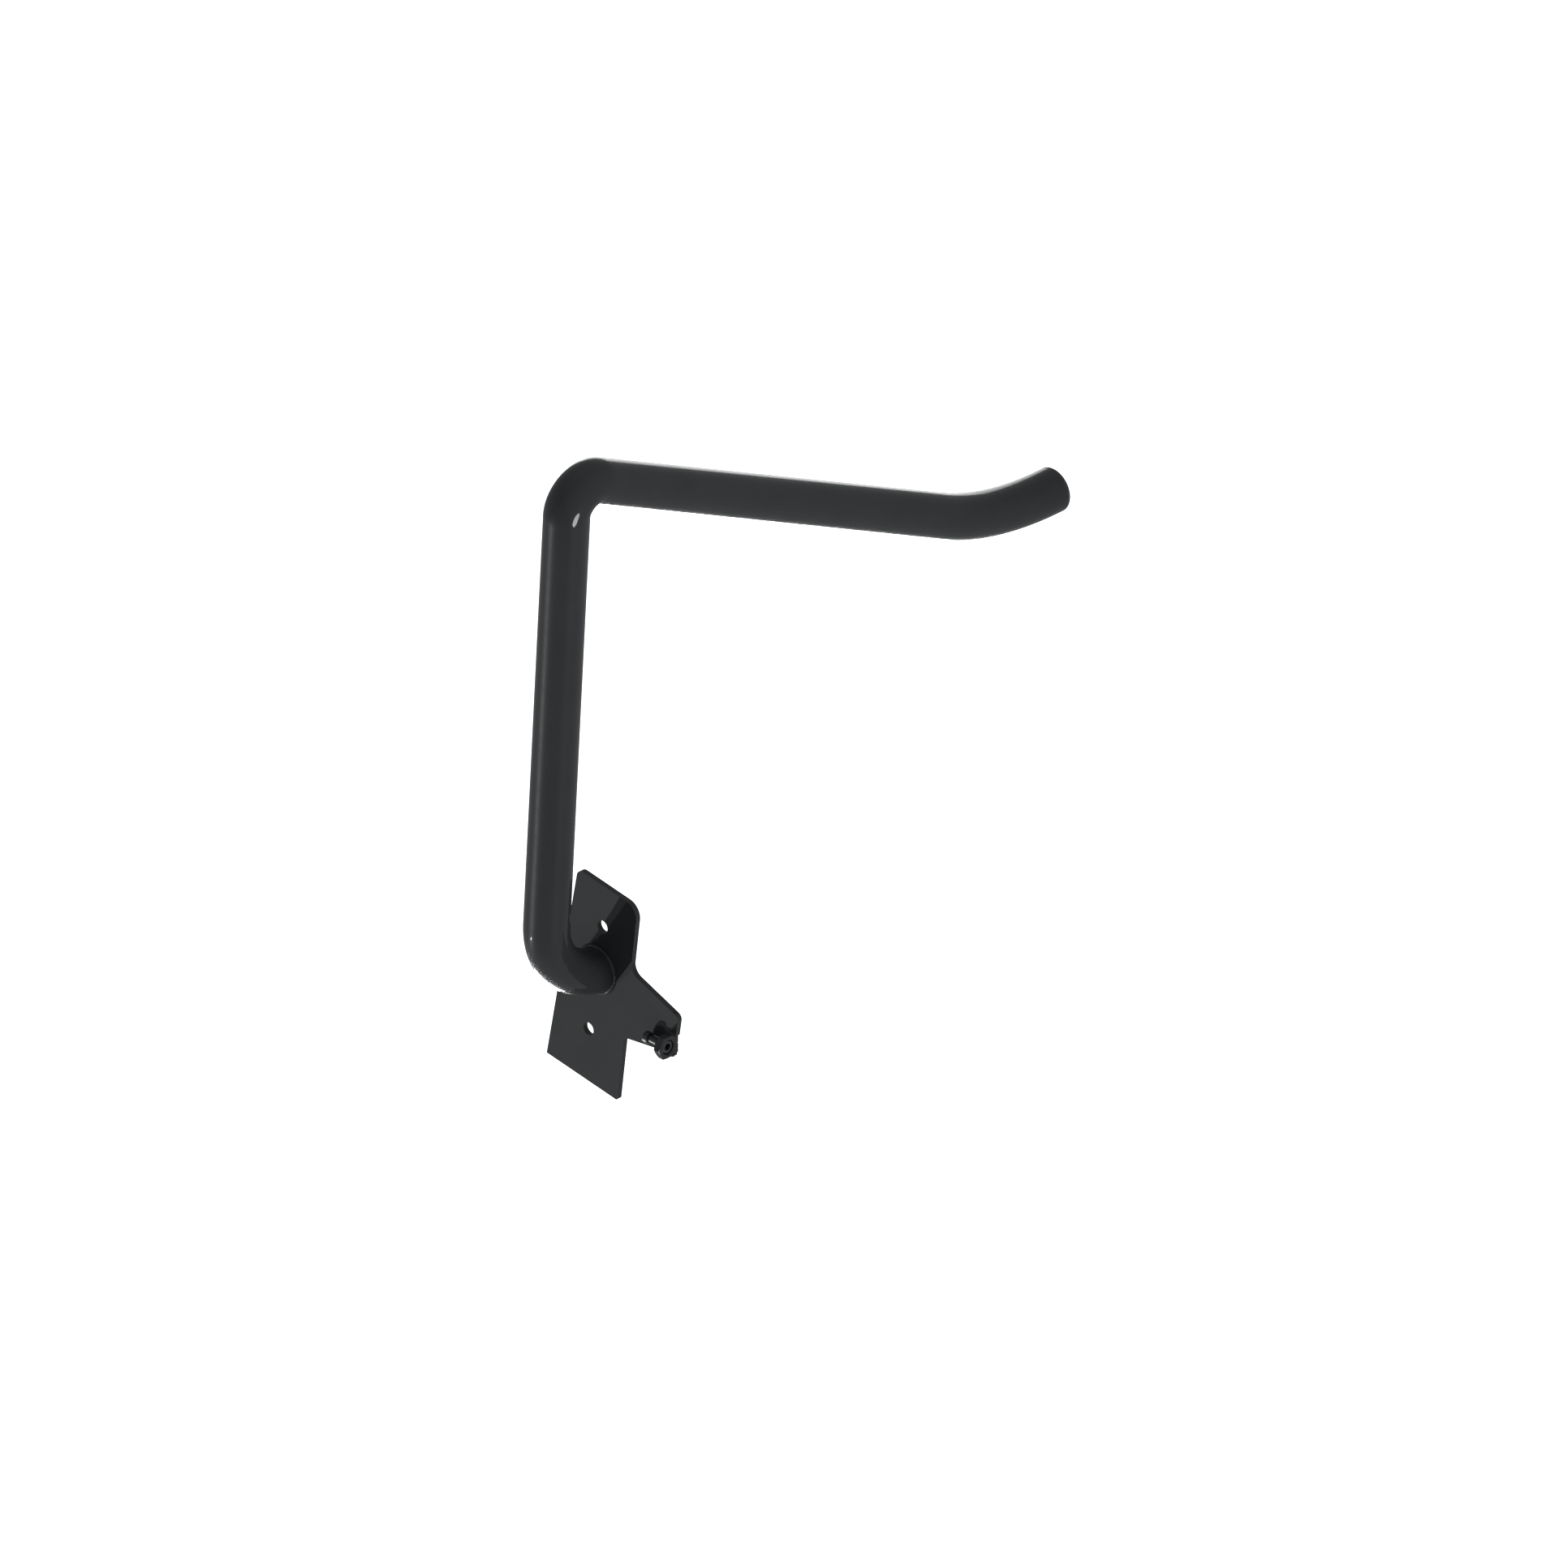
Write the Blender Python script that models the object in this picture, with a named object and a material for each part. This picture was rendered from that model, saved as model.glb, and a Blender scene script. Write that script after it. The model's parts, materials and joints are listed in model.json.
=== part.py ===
"""Bed assist rail: a bent steel tube handle welded to a hooked mounting plate with a clamp screw.

The frame: the origin lies on the plate's back face, midway between the two bolt holes.
+Z is up, +X runs along the plate towards the clamp arm, and -Y points away from the bed frame,
to the side where the tube leaves the plate. The tube's centreline lies in the plane X = 0.
"""

import math

import bmesh
import bpy
from mathutils import Matrix, Vector

MM = 0.001

# Gap left between solids that touch on the real object.
GAP = 0.3 * MM

# How finely round stretches are faceted, and when an edge counts as sharp.
ROUND_SIDES = 32
CHAMFER_SIDES = 48
CORNER_STEP = math.radians(12)
SHARP_ANGLE = math.radians(30)
MERGE_DISTANCE = 0.0001 * MM
# The most of a straight edge that the rounding of one of its corners takes.
FILLET_SHARE = 0.45

# Tube
TUBE_DIAMETER = 32.0 * MM
TUBE_WALL = 2.0 * MM
TUBE_SIDES = 40
STUB_HEIGHT = 5.5 * MM
STUB_REACH = 50.8 * MM
POST_HEIGHT = 453.8 * MM
POST_LEAN = math.radians(5.9)
BAR_RUN = 437.4 * MM
BAR_DROP = 226.9 * MM
TIP_LENGTH = 59.6 * MM
LOWER_BEND_RADIUS = 72.0 * MM
UPPER_BEND_RADIUS = 18.0 * MM
TIP_BEND_RADIUS = 240.0 * MM
BEND_STEP = math.radians(6.0)

# Mounting plate
PLATE_THICKNESS = 4.0 * MM
PLATE_TOP = 74.3 * MM
PLATE_BOTTOM = 82.2 * MM
PLATE_TOP_HALF_WIDTH = 28.5 * MM
PLATE_BOTTOM_HALF_WIDTH = 33.7 * MM
BOLT_HOLE_DIAMETER = 9.5 * MM
BOLT_HOLE_SPACING = 85.0 * MM
ARM_REACH = 77.2 * MM
ARM_ROOT_TOP = 22.5 * MM
ARM_END_TOP = 12.3 * MM
ARM_END_BOTTOM = 21.0 * MM
ARM_LAND_LENGTH = 10.7 * MM
NOTCH_HEIGHT = 30.7 * MM
TOP_LEFT_RADIUS = 5.5 * MM
TOP_RIGHT_RADIUS = 11.0 * MM
SHOULDER_RADIUS = 9.0 * MM
ARM_TOP_RADIUS = 4.5 * MM
ARM_BOTTOM_RADIUS = 1.5 * MM
LAND_RADIUS = 3.0 * MM
NOTCH_RADIUS = 3.0 * MM
FOOT_CORNER_RADIUS = 1.5 * MM

# Fillet weld around the stub
STUB_WELD_LEG = 3.5 * MM
# Points across the bead as shares of its leg: how far out of the tube, and how far off the plate.
STUB_WELD_SECTION = ((1.0, 0.0), (0.45, 0.4), (0.12, 1.0))

# End plug
PLUG_FLANGE = 3.0 * MM
PLUG_RIM_RADIUS = 1.8 * MM
PLUG_CORE_WALL = 2.0 * MM
PLUG_RIB_WIDTH = 1.2 * MM
PLUG_RIB_PITCH = 3.6 * MM
PLUG_RIBS = 3
PLUG_NOSE_SHARE = 0.8
PLUG_RIM_STEPS = 6

# Clamp: screw axis, nut, screw and foot
CLAMP_TILT = math.radians(8.7)
CLAMP_HEIGHT = -10.1 * MM
SCREW_DIAMETER = 10.0 * MM
SCREW_CLEARANCE = 0.5 * MM
THREAD_CLEARANCE = 0.15 * MM
SCREW_INSET = 1.2 * MM
THREAD_LENGTH = 7.8 * MM
THREAD_CHAMFER = 0.8 * MM
NECK_DIAMETER = 5.0 * MM
NECK_LENGTH = 8.7 * MM
SOCKET_FLATS = 5.0 * MM
SOCKET_DEPTH = 4.0 * MM
NUT_FLATS = 16.0 * MM
NUT_THICKNESS = 6.0 * MM
NUT_CHAMFER_ANGLE = math.radians(30)
NUT_FACE_SHARE = 0.96
NUT_WELD_LEG = 2.2 * MM
# Points on the bead's outside as shares of its leg: how far off the plate, and how far off the nut.
NUT_WELD_SECTION = ((1.15, 0.0), (0.4, 0.75), (0.0, 1.0))
# Where the beads start and end along the nut, as shares of its thickness.
NUT_WELD_FROM = 0.9
NUT_WELD_TO = 0.1
FOOT_DIAMETER = 8.5 * MM
FOOT_LENGTH = 4.0 * MM
FOOT_FLOOR = 0.8 * MM
FOOT_CHAMFER = 0.4 * MM
RING_WIRE = 0.8 * MM
RING_BITE = 0.25 * MM
RING_HALF_OPENING = math.radians(30)
RING_WIRE_SIDES = 8
RING_STEPS = 28

# Derived places
TUBE_RADIUS = TUBE_DIAMETER / 2
BORE_RADIUS = TUBE_RADIUS - TUBE_WALL
PLATE_FRONT = -PLATE_THICKNESS
CLAMP_AXIS_Y = PLATE_FRONT - SCREW_DIAMETER / 2 - SCREW_CLEARANCE
NUT_CORNER_RADIUS = NUT_FLATS / math.sqrt(3)
# How far the nut's axis stands in front of the plate's face, and half of the nut's height there.
AXIS_STANDOFF = PLATE_FRONT - CLAMP_AXIS_Y
NUT_HALF_HEIGHT_AT_PLATE = min(NUT_FLATS / 2, math.sqrt(3) * max(NUT_CORNER_RADIUS - AXIS_STANDOFF, 0))


def clear_scene():
    for old in list(bpy.data.objects):
        bpy.data.objects.remove(old, do_unlink=True)


def new_material(name, colour, roughness, metallic):
    material = bpy.data.materials.new(name)
    material.use_nodes = True
    shader = material.node_tree.nodes["Principled BSDF"]
    shader.inputs["Base Color"].default_value = (*colour, 1.0)
    shader.inputs["Roughness"].default_value = roughness
    shader.inputs["Metallic"].default_value = metallic
    return material


def new_object(name, bm, material=None, smooth=True):
    """Makes an object from a bmesh, with its faces pointing out."""
    bmesh.ops.remove_doubles(bm, verts=bm.verts, dist=MERGE_DISTANCE)
    bmesh.ops.recalc_face_normals(bm, faces=bm.faces)
    mesh = bpy.data.meshes.new(name)
    bm.to_mesh(mesh)
    bm.free()
    made = bpy.data.objects.new(name, mesh)
    bpy.context.scene.collection.objects.link(made)
    if material:
        mesh.materials.append(material)
    if smooth:
        mesh.shade_smooth()
        mesh.set_sharp_from_angle(angle=SHARP_ANGLE)
    return made


def as_cutter(obj):
    obj.hide_render = True
    obj.display_type = "WIRE"
    return obj


def boolean(target, tool, operation="DIFFERENCE"):
    modifier = target.modifiers.new(f"{operation.lower()}_{tool.name}", "BOOLEAN")
    modifier.operation = operation
    modifier.solver = "EXACT"
    modifier.object = as_cutter(tool)


# --- Outline with rounded corners ------------------------------------------------------------


def rounded_outline(corners):
    """Points of a closed outline in (x, z), from corners given as (x, z, radius)."""
    points = []
    count = len(corners)
    for index, (x, z, radius) in enumerate(corners):
        here = Vector((x, z))
        before = Vector(corners[index - 1][:2])
        after = Vector(corners[(index + 1) % count][:2])
        points += rounded_corner(before, here, after, radius)
    return points


def rounded_corner(before, here, after, radius):
    if radius <= 0:
        return [here]
    towards_before = (before - here).normalized()
    towards_after = (after - here).normalized()
    half = towards_before.angle(towards_after) / 2
    shortest_edge = min((before - here).length, (after - here).length)
    radius = min(radius, FILLET_SHARE * math.tan(half) * shortest_edge)
    middle = (towards_before + towards_after).normalized()
    centre = here + middle * radius / math.sin(half)
    start = here + towards_before * radius / math.tan(half) - centre
    end = here + towards_after * radius / math.tan(half) - centre
    turn = start.angle_signed(end)
    steps = max(1, round(abs(turn) / CORNER_STEP))
    return [centre + turned(start, turn * number / steps) for number in range(steps + 1)]


def turned(vector, angle):
    """The 2-D vector turned clockwise, the way angle_signed counts."""
    c, s = math.cos(angle), math.sin(angle)
    return Vector((vector.x * c + vector.y * s, vector.y * c - vector.x * s))


def extruded(name, outline, y_from, y_to, material=None):
    """A solid with an outline in (x, z), between two planes of constant y."""
    bm = bmesh.new()
    face = bm.faces.new([bm.verts.new((x, y_from, z)) for x, z in outline])
    grown = bmesh.ops.extrude_face_region(bm, geom=[face])
    moved = [item for item in grown["geom"] if isinstance(item, bmesh.types.BMVert)]
    bmesh.ops.translate(bm, verts=moved, vec=(0, y_to - y_from, 0))
    return new_object(name, bm, material)


# --- Turned pieces ---------------------------------------------------------------------------


def turned_solid(name, profile, material=None, sides=ROUND_SIDES):
    """A solid turned about the X axis, from (x, radius) points that start and end on the axis."""
    bm = bmesh.new()
    chain = [bm.verts.new((x, 0, radius)) for x, radius in profile]
    edges = [bm.edges.new(pair) for pair in zip(chain, chain[1:])]
    bmesh.ops.spin(
        bm,
        geom=chain + edges,
        cent=(0, 0, 0),
        axis=(1, 0, 0),
        angle=math.tau,
        steps=sides,
        use_merge=True,
        use_duplicate=False,
    )
    bmesh.ops.dissolve_degenerate(bm, dist=MERGE_DISTANCE / 10, edges=bm.edges)
    return new_object(name, bm, material)


def hexagon_prism(name, flats, x_from, x_to, material=None):
    """A hexagonal prism about the X axis, with two flats facing up and down."""
    bm = bmesh.new()
    corner = flats / math.sqrt(3)
    angles = [math.tau * number / 6 for number in range(6)]
    face = bm.faces.new(
        [bm.verts.new((x_from, corner * math.cos(a), corner * math.sin(a))) for a in angles]
    )
    grown = bmesh.ops.extrude_face_region(bm, geom=[face])
    moved = [item for item in grown["geom"] if isinstance(item, bmesh.types.BMVert)]
    bmesh.ops.translate(bm, verts=moved, vec=(x_to - x_from, 0, 0))
    return new_object(name, bm, material, smooth=False)


# --- Tube ------------------------------------------------------------------------------------


def tube_corners():
    """The corners of the tube's centreline in (y, z), from inside the plate to the tip."""
    lower = Vector((PLATE_FRONT - STUB_REACH, STUB_HEIGHT))
    upper = lower + POST_HEIGHT * Vector((-math.tan(POST_LEAN), 1))
    bar_end = upper + Vector((BAR_RUN, -BAR_DROP))
    tip = bar_end + Vector((TIP_LENGTH, 0))
    start = lower + Vector((lower_bend_tangent() + TUBE_DIAMETER, 0))
    return [start, lower, upper, bar_end, tip]


def lower_bend_tangent():
    """How far from its corner the lower bend starts."""
    return LOWER_BEND_RADIUS * math.tan(math.radians(45) - POST_LEAN / 2)


def tube_bends():
    return [LOWER_BEND_RADIUS, UPPER_BEND_RADIUS, TIP_BEND_RADIUS]


def swept_solid(name, radius, corners, bends, material=None):
    """A solid round bar along the path, made by extruding and spinning a circle."""
    bm = bmesh.new()
    position = corners[0]
    heading = corners[1] - position
    facing = Vector((0, heading.x, heading.y)).to_track_quat("Z", "X").to_matrix().to_4x4()
    place = Matrix.Translation((0, position.x, position.y)) @ facing
    circle = bmesh.ops.create_circle(bm, cap_ends=True, radius=radius, segments=TUBE_SIDES, matrix=place)
    rim = list({edge for vert in circle["verts"] for edge in vert.link_edges})
    for index, bend in enumerate(bends, start=1):
        corner, after = corners[index], corners[index + 1]
        inward = (position - corner).normalized()
        outward = (after - corner).normalized()
        half = inward.angle(outward) / 2
        rim = extend_rim(bm, rim, corner + inward * bend / math.tan(half) - position)
        centre = corner + (inward + outward).normalized() * bend / math.sin(half)
        turn = math.pi - 2 * half
        clockwise = inward.x * outward.y - inward.y * outward.x > 0
        spun = bmesh.ops.spin(
            bm,
            geom=rim + list({vert for edge in rim for vert in edge.verts}),
            cent=(0, centre.x, centre.y),
            axis=(-1 if clockwise else 1, 0, 0),
            angle=turn,
            steps=max(4, math.ceil(turn / BEND_STEP)),
            use_duplicate=False,
        )
        rim = [item for item in spun["geom_last"] if isinstance(item, bmesh.types.BMEdge)]
        position = corner + outward * bend / math.tan(half)
    rim = extend_rim(bm, rim, corners[-1] - position)
    bmesh.ops.contextual_create(bm, geom=rim)
    return new_object(name, bm, material)


def extend_rim(bm, rim, move):
    """Extrudes the open end along a straight stretch, and returns its new rim."""
    grown = bmesh.ops.extrude_edge_only(bm, edges=rim)["geom"]
    verts = [item for item in grown if isinstance(item, bmesh.types.BMVert)]
    bmesh.ops.translate(bm, verts=verts, vec=(0, move.x, move.y))
    return [item for item in grown if isinstance(item, bmesh.types.BMEdge)]


def make_rail_tube(material):
    """The bent tube, hollow all along, and cut flush with the plate's front face."""
    corners = tube_corners()
    tube = swept_solid("rail_tube", TUBE_RADIUS, corners, tube_bends(), material)
    run_out = Vector((TUBE_DIAMETER, 0))
    longer = [corners[0] + run_out, *corners[1:-1], corners[-1] + run_out]
    boolean(tube, swept_solid("bore_cutter", BORE_RADIUS, longer, tube_bends()))
    boolean(tube, make_plane_cutter())
    return tube


def make_plane_cutter():
    """A block, wider than the tube, whose front face is where the tube meets the plate."""
    half = 1.5 * TUBE_DIAMETER
    outline = [(-half, -half), (half, -half), (half, half), (-half, half)]
    depth = tube_corners()[0].x - PLATE_FRONT + 2 * TUBE_DIAMETER
    cutter = extruded("plane_cutter", outline, 0, depth)
    cutter.location = (0, PLATE_FRONT - GAP, stub_crossing()[0])
    return cutter


def stub_crossing():
    """Height of the tube's centreline where it meets the plate, and its slope there."""
    bend_past_plate = lower_bend_tangent() - STUB_REACH
    if bend_past_plate <= 0:
        return STUB_HEIGHT, 0.0
    angle = math.asin(bend_past_plate / LOWER_BEND_RADIUS)
    return STUB_HEIGHT + LOWER_BEND_RADIUS * (1 - math.cos(angle)), angle


def make_tube_weld(material):
    """A ring of weld in the corner between the stub and the plate."""
    height, slope = stub_crossing()
    foot = Vector((0, PLATE_FRONT - GAP, height))
    lean = Vector((0, -math.cos(slope), math.sin(slope)))
    bm = bmesh.new()
    rings = []
    for swell, rise in STUB_WELD_SECTION:
        centre = foot + lean * STUB_WELD_LEG * rise
        radius = TUBE_RADIUS + GAP + swell * STUB_WELD_LEG
        ring = []
        for number in range(TUBE_SIDES):
            angle = math.tau * number / TUBE_SIDES
            out = Vector((math.cos(angle), 0, math.sin(angle)))
            ring.append(bm.verts.new(centre + radius * out))
        rings.append(ring)
    for lower, upper in zip(rings, rings[1:]):
        for number in range(TUBE_SIDES):
            after = (number + 1) % TUBE_SIDES
            bm.faces.new((lower[number], lower[after], upper[after], upper[number]))
    bm.faces.new(rings[0])
    bm.faces.new(reversed(rings[-1]))
    weld = new_object("tube_weld", bm, material)
    corners = tube_corners()[:3]
    boolean(weld, swept_solid("stub_cutter", TUBE_RADIUS + GAP, corners, [LOWER_BEND_RADIUS]))
    return weld


# --- Mounting plate --------------------------------------------------------------------------


def edge_half_width(z):
    """Half of the plate's width at a height, on its two slanting long edges."""
    share = (PLATE_TOP - z) / (PLATE_TOP + PLATE_BOTTOM)
    return PLATE_TOP_HALF_WIDTH + share * (PLATE_BOTTOM_HALF_WIDTH - PLATE_TOP_HALF_WIDTH)


def plate_corners():
    land_start = ARM_REACH - ARM_LAND_LENGTH
    return [
        (-PLATE_BOTTOM_HALF_WIDTH, -PLATE_BOTTOM, 0.0),
        (-PLATE_TOP_HALF_WIDTH, PLATE_TOP, TOP_LEFT_RADIUS),
        (PLATE_TOP_HALF_WIDTH, PLATE_TOP, TOP_RIGHT_RADIUS),
        (edge_half_width(ARM_ROOT_TOP), ARM_ROOT_TOP, SHOULDER_RADIUS),
        (ARM_REACH, ARM_END_TOP, ARM_TOP_RADIUS),
        (ARM_REACH, -ARM_END_BOTTOM, ARM_BOTTOM_RADIUS),
        (land_start, -ARM_END_BOTTOM, LAND_RADIUS),
        (edge_half_width(-NOTCH_HEIGHT), -NOTCH_HEIGHT, NOTCH_RADIUS),
        (PLATE_BOTTOM_HALF_WIDTH, -PLATE_BOTTOM, FOOT_CORNER_RADIUS),
    ]


def make_mounting_plate(material, clamp_axis):
    plate = extruded("mounting_plate", rounded_outline(plate_corners()), PLATE_FRONT, 0, material)
    for side, label in ((1, "upper"), (-1, "lower")):
        hole = turned_hole(f"{label}_hole_cutter")
        hole.location = (0, PLATE_FRONT / 2, side * BOLT_HOLE_SPACING / 2)
        boolean(plate, hole)
    if NUT_HALF_HEIGHT_AT_PLATE > 0:
        boolean(plate, make_slot_cutter(clamp_axis))
    return plate


def turned_hole(name):
    bm = bmesh.new()
    stand = Matrix.Rotation(math.radians(90), 4, "X")
    bmesh.ops.create_cone(
        bm,
        cap_ends=True,
        segments=ROUND_SIDES,
        radius1=BOLT_HOLE_DIAMETER / 2,
        radius2=BOLT_HOLE_DIAMETER / 2,
        depth=3 * PLATE_THICKNESS,
        matrix=stand,
    )
    return new_object(name, bm)


def make_slot_cutter(clamp_axis):
    """The slot that the nut's inner edge is let into, open at the arm's end."""
    half = NUT_HALF_HEIGHT_AT_PLATE + GAP
    length = NUT_THICKNESS + GAP
    spill = NUT_THICKNESS
    outline = [(-length, -half), (-length, half), (spill, half), (spill, -half)]
    cutter = extruded("slot_cutter", outline, AXIS_STANDOFF - 2 * GAP, AXIS_STANDOFF + 2 * PLATE_THICKNESS)
    cutter.parent = clamp_axis
    return cutter


# --- End plug --------------------------------------------------------------------------------


def make_end_plug(material):
    """A ribbed plug with a rounded flange, turned about the tube's level tip."""
    tip = tube_corners()[-1]
    straight = TIP_LENGTH - TIP_BEND_RADIUS * math.tan(math.atan2(BAR_DROP, BAR_RUN) / 2)
    core = BORE_RADIUS - PLUG_CORE_WALL
    depth_end = PLUG_RIBS * PLUG_RIB_PITCH + PLUG_RIB_WIDTH / 2
    profile = [(-depth_end, 0.0), (-depth_end, PLUG_NOSE_SHARE * core)]
    for number in range(PLUG_RIBS, 0, -1):
        middle = number * PLUG_RIB_PITCH - PLUG_RIB_PITCH / 3
        bent = max(0.0, middle + PLUG_RIB_WIDTH / 2 - straight)
        sag = bent * bent / (2 * TIP_BEND_RADIUS)
        rib = BORE_RADIUS - GAP - 1.5 * sag
        profile += [
            (-middle - PLUG_RIB_WIDTH / 2, core),
            (-middle, rib),
            (-middle + PLUG_RIB_WIDTH / 2, core),
        ]
    rim = min(PLUG_RIM_RADIUS, PLUG_FLANGE - GAP)
    profile += [(GAP, core), (GAP, TUBE_RADIUS)]
    for number in range(PLUG_RIM_STEPS + 1):
        angle = math.radians(90) * number / PLUG_RIM_STEPS
        reach = GAP + PLUG_FLANGE - rim + rim * math.sin(angle)
        profile.append((reach, TUBE_RADIUS - rim + rim * math.cos(angle)))
    profile.append((GAP + PLUG_FLANGE, 0.0))
    plug = turned_solid("end_plug", profile, material, sides=TUBE_SIDES)
    plug.rotation_euler = (0, 0, math.radians(90))
    plug.location = (0, tip.x, tip.y)
    return plug


# --- Clamp -----------------------------------------------------------------------------------


def make_clamp_axis():
    """An empty at the nut's outer face whose X axis is the screw's axis, pointing outwards."""
    axis = bpy.data.objects.new("clamp_axis", None)
    axis.location = (ARM_REACH, CLAMP_AXIS_Y, CLAMP_HEIGHT)
    axis.rotation_euler = (0, -CLAMP_TILT, 0)
    bpy.context.scene.collection.objects.link(axis)
    return axis


def make_clamp_nut(material):
    nut = hexagon_prism("clamp_nut", NUT_FLATS, -NUT_THICKNESS, 0, material)
    slope = math.tan(NUT_CHAMFER_ANGLE)
    face = NUT_FACE_SHARE * NUT_FLATS / 2
    waist = NUT_CORNER_RADIUS + GAP
    profile = [
        (-NUT_THICKNESS - face * slope, 0),
        (-NUT_THICKNESS + (waist - face) * slope, waist),
        (-(waist - face) * slope, waist),
        (face * slope, 0),
    ]
    blank = turned_solid("nut_chamfer_shape", profile, sides=CHAMFER_SIDES)
    boolean(nut, blank, "INTERSECT")
    bore = SCREW_DIAMETER / 2 + THREAD_CLEARANCE
    boolean(nut, turned_solid("nut_bore_cutter", bored(-NUT_THICKNESS, 0, bore, THREAD_CHAMFER)))
    for piece in (blank, bpy.data.objects["nut_bore_cutter"]):
        piece.parent = bpy.data.objects["clamp_axis"]
    return nut


def bored(x_from, x_to, radius, chamfer):
    """The profile of a cutter for a bore with a countersink at each end."""
    return [
        (x_from - chamfer, 0),
        (x_from - chamfer, radius + 2 * chamfer),
        (x_from + chamfer, radius),
        (x_to - chamfer, radius),
        (x_to + chamfer, radius + 2 * chamfer),
        (x_to + chamfer, 0),
    ]


def make_nut_weld(name, side, material):
    """A bead above (side 1) or below (side -1) the nut, in the corner that it makes with the plate."""
    face = AXIS_STANDOFF - GAP
    flat = NUT_FLATS / 2 + GAP
    corner = min(face, flat * math.tan(math.radians(30)))
    touch = min(flat, 2 * (flat - face * math.cos(math.radians(30))))
    section = [(face, side * touch), (corner, side * flat)]
    for off_plate, off_nut in NUT_WELD_SECTION:
        section.append((face - off_plate * NUT_WELD_LEG, side * (flat + off_nut * NUT_WELD_LEG)))
    bm = bmesh.new()
    bead = bm.faces.new([bm.verts.new((-NUT_WELD_FROM * NUT_THICKNESS, y, z)) for y, z in section])
    grown = bmesh.ops.extrude_face_region(bm, geom=[bead])
    moved = [item for item in grown["geom"] if isinstance(item, bmesh.types.BMVert)]
    bmesh.ops.translate(bm, verts=moved, vec=((NUT_WELD_FROM - NUT_WELD_TO) * NUT_THICKNESS, 0, 0))
    return new_object(name, bm, material)


def make_clamp_screw(material):
    thread = SCREW_DIAMETER / 2
    neck = NECK_DIAMETER / 2
    groove = ring_middle() - RING_WIRE / 2 - GAP
    head = -SCREW_INSET
    shoulder = head - THREAD_LENGTH
    tip_end = shoulder - NECK_LENGTH - (FOOT_LENGTH - FOOT_FLOOR - GAP)
    groove_at = shoulder - NECK_LENGTH - ring_depth()
    half = RING_WIRE / 2 + GAP
    profile = [
        (head, 0),
        (head, thread - THREAD_CHAMFER),
        (head - THREAD_CHAMFER, thread),
        (shoulder + THREAD_CHAMFER, thread),
        (shoulder, thread - THREAD_CHAMFER),
        (shoulder, neck),
        (groove_at + half, neck),
        (groove_at + half, groove),
        (groove_at - half, groove),
        (groove_at - half, neck),
        (tip_end + GAP, neck),
        (tip_end, neck - GAP),
        (tip_end, 0),
    ]
    screw = turned_solid("clamp_screw", profile, material)
    socket = hexagon_prism("socket_cutter", SOCKET_FLATS, head - SOCKET_DEPTH, head + SOCKET_DEPTH)
    socket.parent = bpy.data.objects["clamp_axis"]
    boolean(screw, socket)
    return screw


def foot_back():
    """Where the foot's back face is along the screw's axis."""
    return -SCREW_INSET - THREAD_LENGTH - NECK_LENGTH


def ring_depth():
    """How deep inside the foot the snap ring lies."""
    return (FOOT_LENGTH - FOOT_FLOOR) / 2


def ring_middle():
    """The snap ring's radius, at the middle of its wire."""
    return NECK_DIAMETER / 2 + RING_WIRE / 2 - RING_BITE


def make_pressure_foot(material):
    back = foot_back()
    bore = NECK_DIAMETER / 2 + GAP
    groove = ring_middle() + RING_WIRE / 2 + GAP
    half = RING_WIRE / 2 + GAP
    middle = back - ring_depth()
    outer = max(FOOT_DIAMETER / 2, groove + 2 * GAP)
    floor = back - FOOT_LENGTH + FOOT_FLOOR
    front = back - FOOT_LENGTH
    profile = [
        (floor, 0),
        (floor, bore),
        (middle - half, bore),
        (middle - half, groove),
        (middle + half, groove),
        (middle + half, bore),
        (back, bore),
        (back, outer - FOOT_CHAMFER),
        (back - FOOT_CHAMFER, outer),
        (front + FOOT_CHAMFER, outer),
        (front, outer - FOOT_CHAMFER),
        (front, 0),
    ]
    return turned_solid("pressure_foot", profile, material)


def make_snap_ring(material):
    """A split ring of round wire."""
    bm = bmesh.new()
    middle = foot_back() - ring_depth()
    rings = []
    for number in range(RING_STEPS + 1):
        angle = RING_HALF_OPENING + (math.tau - 2 * RING_HALF_OPENING) * number / RING_STEPS
        out = Vector((0, math.cos(angle), math.sin(angle)))
        centre = Vector((middle, 0, 0)) + out * ring_middle()
        ring = []
        for side in range(RING_WIRE_SIDES):
            turn = math.tau * side / RING_WIRE_SIDES
            wire = RING_WIRE / 2 * (math.cos(turn) * out + math.sin(turn) * Vector((1, 0, 0)))
            ring.append(bm.verts.new(centre + wire))
        rings.append(ring)
    for before, after in zip(rings, rings[1:]):
        for side in range(RING_WIRE_SIDES):
            other = (side + 1) % RING_WIRE_SIDES
            bm.faces.new((before[side], before[other], after[other], after[side]))
    bm.faces.new(rings[0])
    bm.faces.new(reversed(rings[-1]))
    return new_object("foot_snap_ring", bm, material)


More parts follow.
